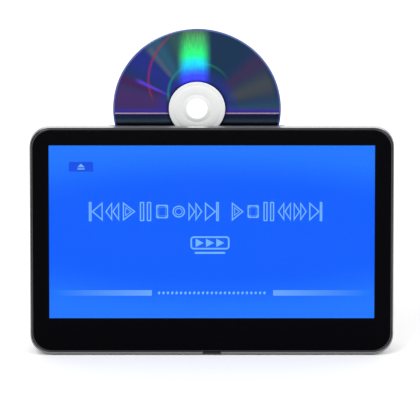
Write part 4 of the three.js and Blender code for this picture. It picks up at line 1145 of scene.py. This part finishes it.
def build_kickstand(sizes):
    """The stand with grip grooves across its free end, and its pin."""
    refine("kickstand_pin", "steel", sizes.small_edge)
    low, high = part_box("kickstand")
    first = low.z + 6 * MM
    places = [(0.0, high.y, first + index * STAND_RIB_PITCH) for index in range(sizes.stand_ribs)]
    grooves = ribs_mesh("Stand grooves", "silver_paint", (34 * MM, 1.1 * MM, 1.1 * MM), places, 1.0)
    plate = carved(mesh_of(cad_copy("kickstand"), "kickstand"), grooves)
    show_for("kickstand", cleaned(edged(cleaned(plate), 0.7 * sizes.case_edge)), "silver_paint")


def build_feet(sizes):
    """Rubber feet: a pad with ribs under it."""
    rib_height = 0.45 * MM
    pitch = sizes.foot_rib_pitch
    for node in ("foot_left", "foot_right"):
        low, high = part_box(node)
        middle = (low + high) / 2
        pad = box_mesh(Vector((low.x, low.y, low.z + rib_height)), high, 0.3 * MM)
        count = int((high.x - low.x) / pitch)
        starts = [(index - (count - 1) / 2) * pitch for index in range(count)]
        places = [(middle.x + start, middle.y, low.z + 0.6 * MM) for start in starts]
        size = (1.1 * MM, high.y - low.y - 0.8 * MM, 1.2 * MM)
        ribs = ribs_mesh(f"Ribs of {node}", "rubber", size, places)
        show_for(node, joined_mesh([pad, ribs], node), "rubber")


def screw_tree(length, head_height):
    """Case screws along +Y on given points: a plain shank and a head with a cross recess."""

    def shape(tree):
        head = primitive(tree, "Cylinder", Vertices=32, Radius=2.15 * MM, Depth=head_height)
        shank = primitive(tree, "Cylinder", Vertices=20, Radius=0.55 * MM, Depth=length)
        lowered = moved(tree, shank, Translation=(0, 0, -(length + head_height) / 2 + 0.1 * MM))
        blade_sizes = ((2.5 * MM, 0.55 * MM, head_height), (0.55 * MM, 2.5 * MM, head_height))
        cutters = together(tree, *[primitive(tree, "Cube", Size=size) for size in blade_sizes])
        raised = moved(tree, cutters, Translation=(0, 0, 0.45 * head_height))
        settings = {"operation": "DIFFERENCE", "solver": "EXACT"}
        values = {"Mesh 1": head, "Mesh 2": raised, "Self Intersection": True}
        recessed = add_node(tree, "GeometryNodeMeshBoolean", settings, values).outputs["Mesh"]
        return moved(tree, together(tree, recessed, lowered), Rotation=(-math.pi / 2, 0, 0))

    return instanced_tree("Case screws", "screw_steel", shape)


def build_screws():
    """The four case screws."""
    nodes = [f"case_screw_{number}" for number in (1, 2, 3, 4)]
    boxes = [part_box(node) for node in nodes]
    head_height = 1.6 * MM
    low, high = boxes[0]
    tree = screw_tree(high.y - low.y - head_height, head_height)
    places = [((low.x + high.x) / 2, high.y - head_height / 2, (low.z + high.z) / 2) for low, high in boxes]
    mesh = smoothed(bake_tree(tree, points_mesh(places), {}))
    show("case_screws", mesh, ["screw_steel"], BODY_OF_NODE[nodes[0]], nodes)


# ---------- Controls ----------


def side_symbol(outlines, face_x, y, z, rise):
    """Raised print on the right side from outlines drawn in (towards the rear, up)."""
    flat = flat_shape([(outline, None) for outline in outlines], 0.0, rise)
    turn = Matrix(((0, 1, 0, face_x), (1, 0, 0, y), (0, 0, 1, z), (0, 0, 0, 1)))
    flat.transform(turn)
    bm = bmesh.new()
    bm.from_mesh(flat)
    bmesh.ops.recalc_face_normals(bm, faces=bm.faces)
    bpy.data.meshes.remove(flat)
    return mesh_of(bm, "symbol")


def build_keys(sizes):
    """Side keys with raised symbols, and the ridged power slider."""
    minus = bar_shape(0, 0, 2.6, 0.7)
    # Outlines in millimetres, as seen from the right.
    symbols = {
        "volume_down_key": [minus],
        "volume_up_key": [minus, bar_shape(0, 1.0, 0.7, 0.9), bar_shape(0, -1.0, 0.7, 0.9)],
        "play_key": [triangle(-0.7, 0, 1.6, 2.4), bar_shape(0.75, 0, 0.45, 2.2), bar_shape(1.55, 0, 0.45, 2.2)],
        "eject_key": [[(-1.3, -0.3), (1.3, -0.3), (0, 1.3)], bar_shape(0, -1.0, 2.6, 0.55)],
    }
    for node, outlines in symbols.items():
        refine(node, "key_plastic", 0.35 * MM)
        low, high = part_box(node)
        middle = (low + high) / 2
        drawn = [in_metres(outline) for outline in outlines]
        mesh = side_symbol(drawn, high.x - 0.02 * MM, middle.y, middle.z, 0.1 * MM)
        show_on(node, f"{node}_symbol", mesh, "key_print")
    refine("power_slider", "key_plastic", 0.3 * MM)
    low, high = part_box("power_slider")
    middle = (low + high) / 2
    places = [(high.x, middle.y, middle.z + step * 0.95 * MM) for step in (-2, -1, 0, 1, 2)]
    ridges = ribs_mesh("Slider ridges", "key_plastic", (0.36 * MM, 2.6 * MM, 0.5 * MM), places)
    show_on("power_slider", "power_slider_ridges", ridges, "key_plastic")
    refine("key_board", "board_green", sizes.small_edge)
    refine("power_switch_body", "black_plastic", sizes.small_edge)


SOCKETS = {
    "dc_jack": "black_plastic",
    "headphone_jack": "black_plastic",
    "usb_port": "sheet_metal",
    "card_socket": "sheet_metal",
}
# Turned rings round the openings of the round sockets, as (radius, depth) points in millimetres.
COLLAR = ((1.82, 0.02), (1.82, 2.5), (2.9, 2.5), (2.9, 0.1), (2.8, -0.02), (1.95, -0.02))
SLEEVE = ((3.02, 0.02), (3.02, 2.0), (3.6, 2.0), (3.6, 0.1), (3.5, -0.02), (3.15, -0.02))
CONTACT_DEPTH = 6.0 * MM


def build_ports(sizes):
    """Sockets on the left side with their metal contacts."""
    for node, material_name in SOCKETS.items():
        refine(node, material_name, sizes.small_edge)
    for node, name, ring, material_name in (
        ("headphone_jack", "headphone_collar", COLLAR, "steel"),
        ("dc_jack", "dc_sleeve", SLEEVE, "black_plastic"),
    ):
        low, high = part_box(node)
        centre = (low.x, (low.y + high.y) / 2, (low.z + high.z) / 2)
        show_on(node, name, turned_mesh(in_metres(ring), centre, (1, 0, 0), 40), material_name)
    for node, count, pitch, size, depth_share in (
        ("usb_port", 4, 2.2 * MM, (7.0 * MM, 0.12 * MM, 1.1 * MM), 0.66),
        ("card_socket", 9, 2.5 * MM, (6.0 * MM, 0.25 * MM, 0.9 * MM), 0.86),
    ):
        low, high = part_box(node)
        y = low.y + (high.y - low.y) * (1 - depth_share)
        middle = (low.z + high.z) / 2
        steps = [(index - (count - 1) / 2) * pitch for index in range(count)]
        places = [(low.x + CONTACT_DEPTH, y, middle + step) for step in steps]
        contacts = ribs_mesh(f"Contacts of {node}", "gold_contact", size, places, 1.0)
        show_on(node, f"{node}_contacts", contacts, "gold_contact")


# ---------- Inside ----------


PLAIN_INSIDE = {
    "lcd_frame": "sheet_metal",
    "lcd_backlight": "light_guide",
    "lcd_ribbon": "ribbon_film",
    "main_processor": "chip_black",
    "battery_pack": "battery_wrap",
    "drive_chassis": "sheet_metal",
    "disc_guide_plate": "sheet_metal",
    "cam_slider": "acetal",
    "traverse_frame": "black_plastic",
    "clamper": "acetal",
    "turntable": "black_plastic",
    "spindle_motor": "steel",
    "sled_motor": "steel",
    "guide_rod_1": "steel",
    "guide_rod_2": "steel",
    "pickup_body": "sheet_metal",
    "objective_lens": "optic_glass",
    "loading_motor": "steel",
    "motor_pinion": "steel",
    "roller_shaft": "steel",
    "loading_roller": "rubber",
    "roller_gear": "acetal",
    "idler_gear": "acetal",
    "drive_damper_1": "rubber",
    "drive_damper_2": "rubber",
    "drive_damper_3": "rubber",
    "drive_damper_4": "rubber",
}


def build_drive(sizes):
    """Every piece of the drive and the power supply, with rounded edges, and the threaded lead screw."""
    for node, material_name in PLAIN_INSIDE.items():
        refine(node, material_name, 0.6 * sizes.small_edge)
    low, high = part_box("lead_screw")
    outer = (high.z - low.z) / 2
    values = {"Length": high.x - low.x, "Core radius": 0.72 * outer, "Outer radius": outer}
    values["Pitch"] = sizes.thread_pitch
    screw = bake_tree(helix_tree("steel"), points_mesh([(0, 0, 0)]), values)
    centre = (low + high) / 2
    screw.transform(Matrix.Translation((low.x, centre.y, centre.z)) @ Matrix.Rotation(math.pi / 2, 4, "Y"))
    show_for("lead_screw", smoothed(screw), "steel")


COMPONENT_SEED = 11
COMPONENT_DENSITY = 60000.0  # parts for each square metre, before their spacing thins them


def component_tree(name, material_name, size):
    """Small parts scattered over a board, all square to it."""
    tree, given, result = geometry_tree(name, [("Density", FLOAT, 20000.0), ("Spacing", FLOAT, 0.004)])
    out = given.outputs
    values = {"Mesh": out["Geometry"], "Distance Min": out["Spacing"], "Density Max": out["Density"]}
    values["Seed"] = COMPONENT_SEED + len(name)
    settings = {"distribute_method": "POISSON"}
    spots = add_node(tree, "GeometryNodeDistributePointsOnFaces", settings, values).outputs["Points"]
    end_tree(tree, result, on_points(tree, spots, primitive(tree, "Cube", Size=size)), material_name)
    return tree


def build_board(sizes):
    """The main board with its scattered parts."""
    refine("main_board", "board_green", sizes.small_edge)
    low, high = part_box("main_board")
    margin = 3 * MM
    left, right = low.x + margin + 9 * MM, high.x - margin
    bottom, top = low.z + margin, high.z - margin
    for name, material_name, size, spacing, rise in (
        ("board_parts", "part_tan", (1.6 * MM, 0.7 * MM, 0.9 * MM), 4.5 * MM, 0.35 * MM),
        ("board_chips", "chip_black", (4.2 * MM, 1.0 * MM, 3.2 * MM), 12 * MM, 0.5 * MM),
    ):
        patch = bpy.data.meshes.new("patch")
        y = low.y - rise
        corners = [(left, y, bottom), (right, y, bottom), (right, y, top), (left, y, top)]
        patch.from_pydata(corners, [], [(0, 1, 2, 3)])
        tree = component_tree(name, material_name, size)
        mesh = bake_tree(tree, patch, {"Density": COMPONENT_DENSITY, "Spacing": spacing})
        show_on("main_board", name, mesh, material_name)


# Speaker cone and its surround, as (radius, height) points in millimetres.
CONE = ((0.0, 0.1), (1.6, 0.5), (2.0, 0.2), (4.9, 2.7), (5.2, 3.0), (5.3, 2.7), (2.0, 0.0), (0.0, 0.0))


def build_speakers(sizes):
    """Both speakers with a cone and its surround behind the grille."""
    for node in ("speaker_left", "speaker_right"):
        refine(node, "black_plastic", sizes.small_edge)
        low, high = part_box(node)
        centre = (low + high) / 2
        place = (centre.x, high.y - 3.2 * MM, centre.z)
        show_on(node, f"{node}_cone", turned_mesh(in_metres(CONE), place, (0, 1, 0), 40), "speaker_cone")


# ---------- Stage ----------

CAMERA_TARGET = Vector((-1.3, 0.0, 105.5)) * MM
CAMERA_ELEVATION = math.radians(19.4)
CAMERA_DISTANCE = 8.03
CAMERA_LENS = 960.0  # millimetres, and so is the sensor
CAMERA_SENSOR = 36.0
CAMERA_REACH = 100.0
FLOOR_REACH = 40.0
FLOOR_DROP = 0.2 * MM  # keeps the floor clear of the feet
WORLD_STRENGTH = 0.85
# Name, place, size in metres and power in watts.
LIGHTS = (
    ("key_light", (-1.2, -1.6, 2.2), 1.6, 42.0),
    ("fill_light", (1.6, -1.2, 1.6), 1.8, 22.0),
    ("back_light", (0.1, 2.3, 1.2), 1.8, 20.0),
)
LIGHT_TARGET = Vector((0.0, 0.0, 0.1))


def build_stage(colours):
    """Pale floor, soft lights and the camera."""
    tree, shader = start_material("studio_floor")
    pale = tuple(colours.floor)
    shade = mixed(tree, noise(tree, 3.0), scaled(pale, 0.985), pale)
    set_inputs(tree, shader, {"Base Color": shade, "Roughness": 0.9, "Specular IOR Level": 0.0})
    mesh = bpy.data.meshes.new("floor")
    corners = [(x * FLOOR_REACH, y * FLOOR_REACH, 0) for x, y in ((-1, -1), (1, -1), (1, 1), (-1, 1))]
    mesh.from_pydata(corners, [], [(0, 1, 2, 3)])
    mesh.materials.append(materials["studio_floor"])
    floor = put(bpy.data.objects.new("studio_floor", mesh))
    floor.location.z = -FLOOR_DROP

    for name, place, size, power in LIGHTS:
        data = bpy.data.lights.new(name, "AREA")
        data.size = size
        data.energy = power
        light = put(bpy.data.objects.new(name, data))
        light.location = place
        light.rotation_euler = (LIGHT_TARGET - Vector(place)).to_track_quat("-Z", "Y").to_euler()
    world = bpy.data.worlds.new("studio")
    world.use_nodes = True
    background = world.node_tree.nodes["Background"]
    set_inputs(world.node_tree, background, {"Color": (1.0, 1.0, 1.0, 1.0), "Strength": WORLD_STRENGTH})
    bpy.context.scene.world = world
    bpy.context.scene.view_settings.view_transform = "Standard"

    data = bpy.data.cameras.new("camera")
    data.lens = CAMERA_LENS
    data.sensor_width = CAMERA_SENSOR
    data.clip_end = CAMERA_REACH
    camera = put(bpy.data.objects.new("camera", data))
    back = Vector((0.0, -math.cos(CAMERA_ELEVATION), math.sin(CAMERA_ELEVATION)))
    camera.location = CAMERA_TARGET + back * CAMERA_DISTANCE
    camera.rotation_mode = "QUATERNION"
    camera.rotation_quaternion = (-back).to_track_quat("-Z", "Y")
    bpy.context.scene.camera = camera


# ---------- Operators ----------


class PLAYER_OT_finishes(bpy.types.Operator):
    """Make every finish of the player"""

    bl_idname = "player.finishes"
    bl_label = "Finishes"

    def execute(self, context):
        build_materials(context)
        return {"FINISHED"}


class PLAYER_OT_case(bpy.types.Operator):
    """Finish the silver frame, the rear cover and the slot bezel"""

    bl_idname = "player.case"
    bl_label = "Case"

    def execute(self, context):
        build_case(context.scene.player_sizes)
        return {"FINISHED"}


class PLAYER_OT_lens(bpy.types.Operator):
    """Build the front lens with its clear window"""

    bl_idname = "player.lens"
    bl_label = "Front lens"

    def execute(self, context):
        build_lens(context.scene.player_sizes)
        return {"FINISHED"}


class PLAYER_OT_display(bpy.types.Operator):
    """Build the lit panel and its symbols"""

    bl_idname = "player.display"
    bl_label = "Display"

    def execute(self, context):
        build_display(context.scene.player_sizes)
        return {"FINISHED"}


class PLAYER_OT_disc(bpy.types.Operator):
    """Build the disc"""

    bl_idname = "player.disc"
    bl_label = "Disc"

    def execute(self, context):
        build_disc(context.scene.player_sizes)
        return {"FINISHED"}


class PLAYER_OT_felts(bpy.types.Operator):
    """Build the felt lips of the disc slot"""

    bl_idname = "player.felts"
    bl_label = "Slot felts"

    def execute(self, context):
        build_felts()
        return {"FINISHED"}


class PLAYER_OT_kickstand(bpy.types.Operator):
    """Build the kickstand with its grip grooves"""

    bl_idname = "player.kickstand"
    bl_label = "Kickstand"

    def execute(self, context):
        build_kickstand(context.scene.player_sizes)
        return {"FINISHED"}


class PLAYER_OT_feet(bpy.types.Operator):
    """Build the rubber feet"""

    bl_idname = "player.feet"
    bl_label = "Feet"

    def execute(self, context):
        build_feet(context.scene.player_sizes)
        return {"FINISHED"}


class PLAYER_OT_screws(bpy.types.Operator):
    """Build the case screws"""

    bl_idname = "player.screws"
    bl_label = "Case screws"

    def execute(self, context):
        build_screws()
        return {"FINISHED"}


class PLAYER_OT_keys(bpy.types.Operator):
    """Build the side keys and the power slider"""

    bl_idname = "player.keys"
    bl_label = "Keys and slider"

    def execute(self, context):
        build_keys(context.scene.player_sizes)
        return {"FINISHED"}


class PLAYER_OT_ports(bpy.types.Operator):
    """Build the sockets of the left side"""

    bl_idname = "player.ports"
    bl_label = "Sockets"

    def execute(self, context):
        build_ports(context.scene.player_sizes)
        return {"FINISHED"}


class PLAYER_OT_drive(bpy.types.Operator):
    """Finish the pieces of the disc drive and the power supply"""

    bl_idname = "player.drive"
    bl_label = "Disc drive"

    def execute(self, context):
        build_drive(context.scene.player_sizes)
        return {"FINISHED"}


class PLAYER_OT_board(bpy.types.Operator):
    """Build the main board with its parts"""

    bl_idname = "player.board"
    bl_label = "Main board"

    def execute(self, context):
        build_board(context.scene.player_sizes)
        return {"FINISHED"}


class PLAYER_OT_speakers(bpy.types.Operator):
    """Build both speakers"""

    bl_idname = "player.speakers"
    bl_label = "Speakers"

    def execute(self, context):
        build_speakers(context.scene.player_sizes)
        return {"FINISHED"}


class PLAYER_OT_stage(bpy.types.Operator):
    """Build the floor, the lights and the camera"""

    bl_idname = "player.stage"
    bl_label = "Stage"

    def execute(self, context):
        build_stage(context.scene.player_colours)
        return {"FINISHED"}


OPERATORS = (
    PLAYER_OT_stage,
    PLAYER_OT_finishes,
    PLAYER_OT_case,
    PLAYER_OT_lens,
    PLAYER_OT_display,
    PLAYER_OT_disc,
    PLAYER_OT_felts,
    PLAYER_OT_kickstand,
    PLAYER_OT_feet,
    PLAYER_OT_screws,
    PLAYER_OT_keys,
    PLAYER_OT_ports,
    PLAYER_OT_drive,
    PLAYER_OT_board,
    PLAYER_OT_speakers,
)


class PLAYER_PT_panel(bpy.types.Panel):
    """Sidebar list of the player's pieces"""

    bl_idname = "PLAYER_PT_panel"
    bl_label = "Portable disc player"
    bl_space_type = "VIEW_3D"
    bl_region_type = "UI"
    bl_category = "Player"

    def draw(self, context):
        for settings in (context.scene.player_sizes, context.scene.player_colours):
            for name in settings.__annotations__:
                self.layout.prop(settings, name)
        for operator in OPERATORS:
            self.layout.operator(operator.bl_idname)


CLASSES = (PlayerSizes, PlayerColours, *OPERATORS, PLAYER_PT_panel)


def register():
    """Registers the classes and hangs the settings on the scene."""
    for cls in CLASSES:
        bpy.utils.register_class(cls)
    bpy.types.Scene.player_sizes = PointerProperty(type=PlayerSizes)
    bpy.types.Scene.player_colours = PointerProperty(type=PlayerColours)


def unregister():
    """Takes the settings and the classes away again."""
    del bpy.types.Scene.player_colours
    del bpy.types.Scene.player_sizes
    for cls in reversed(CLASSES):
        bpy.utils.unregister_class(cls)


def main():
    """Builds every piece in order."""
    register()
    for operator in OPERATORS:
        family, name = operator.bl_idname.split(".")
        getattr(getattr(bpy.ops, family), name)()


if __name__ == "__main__":
    main()
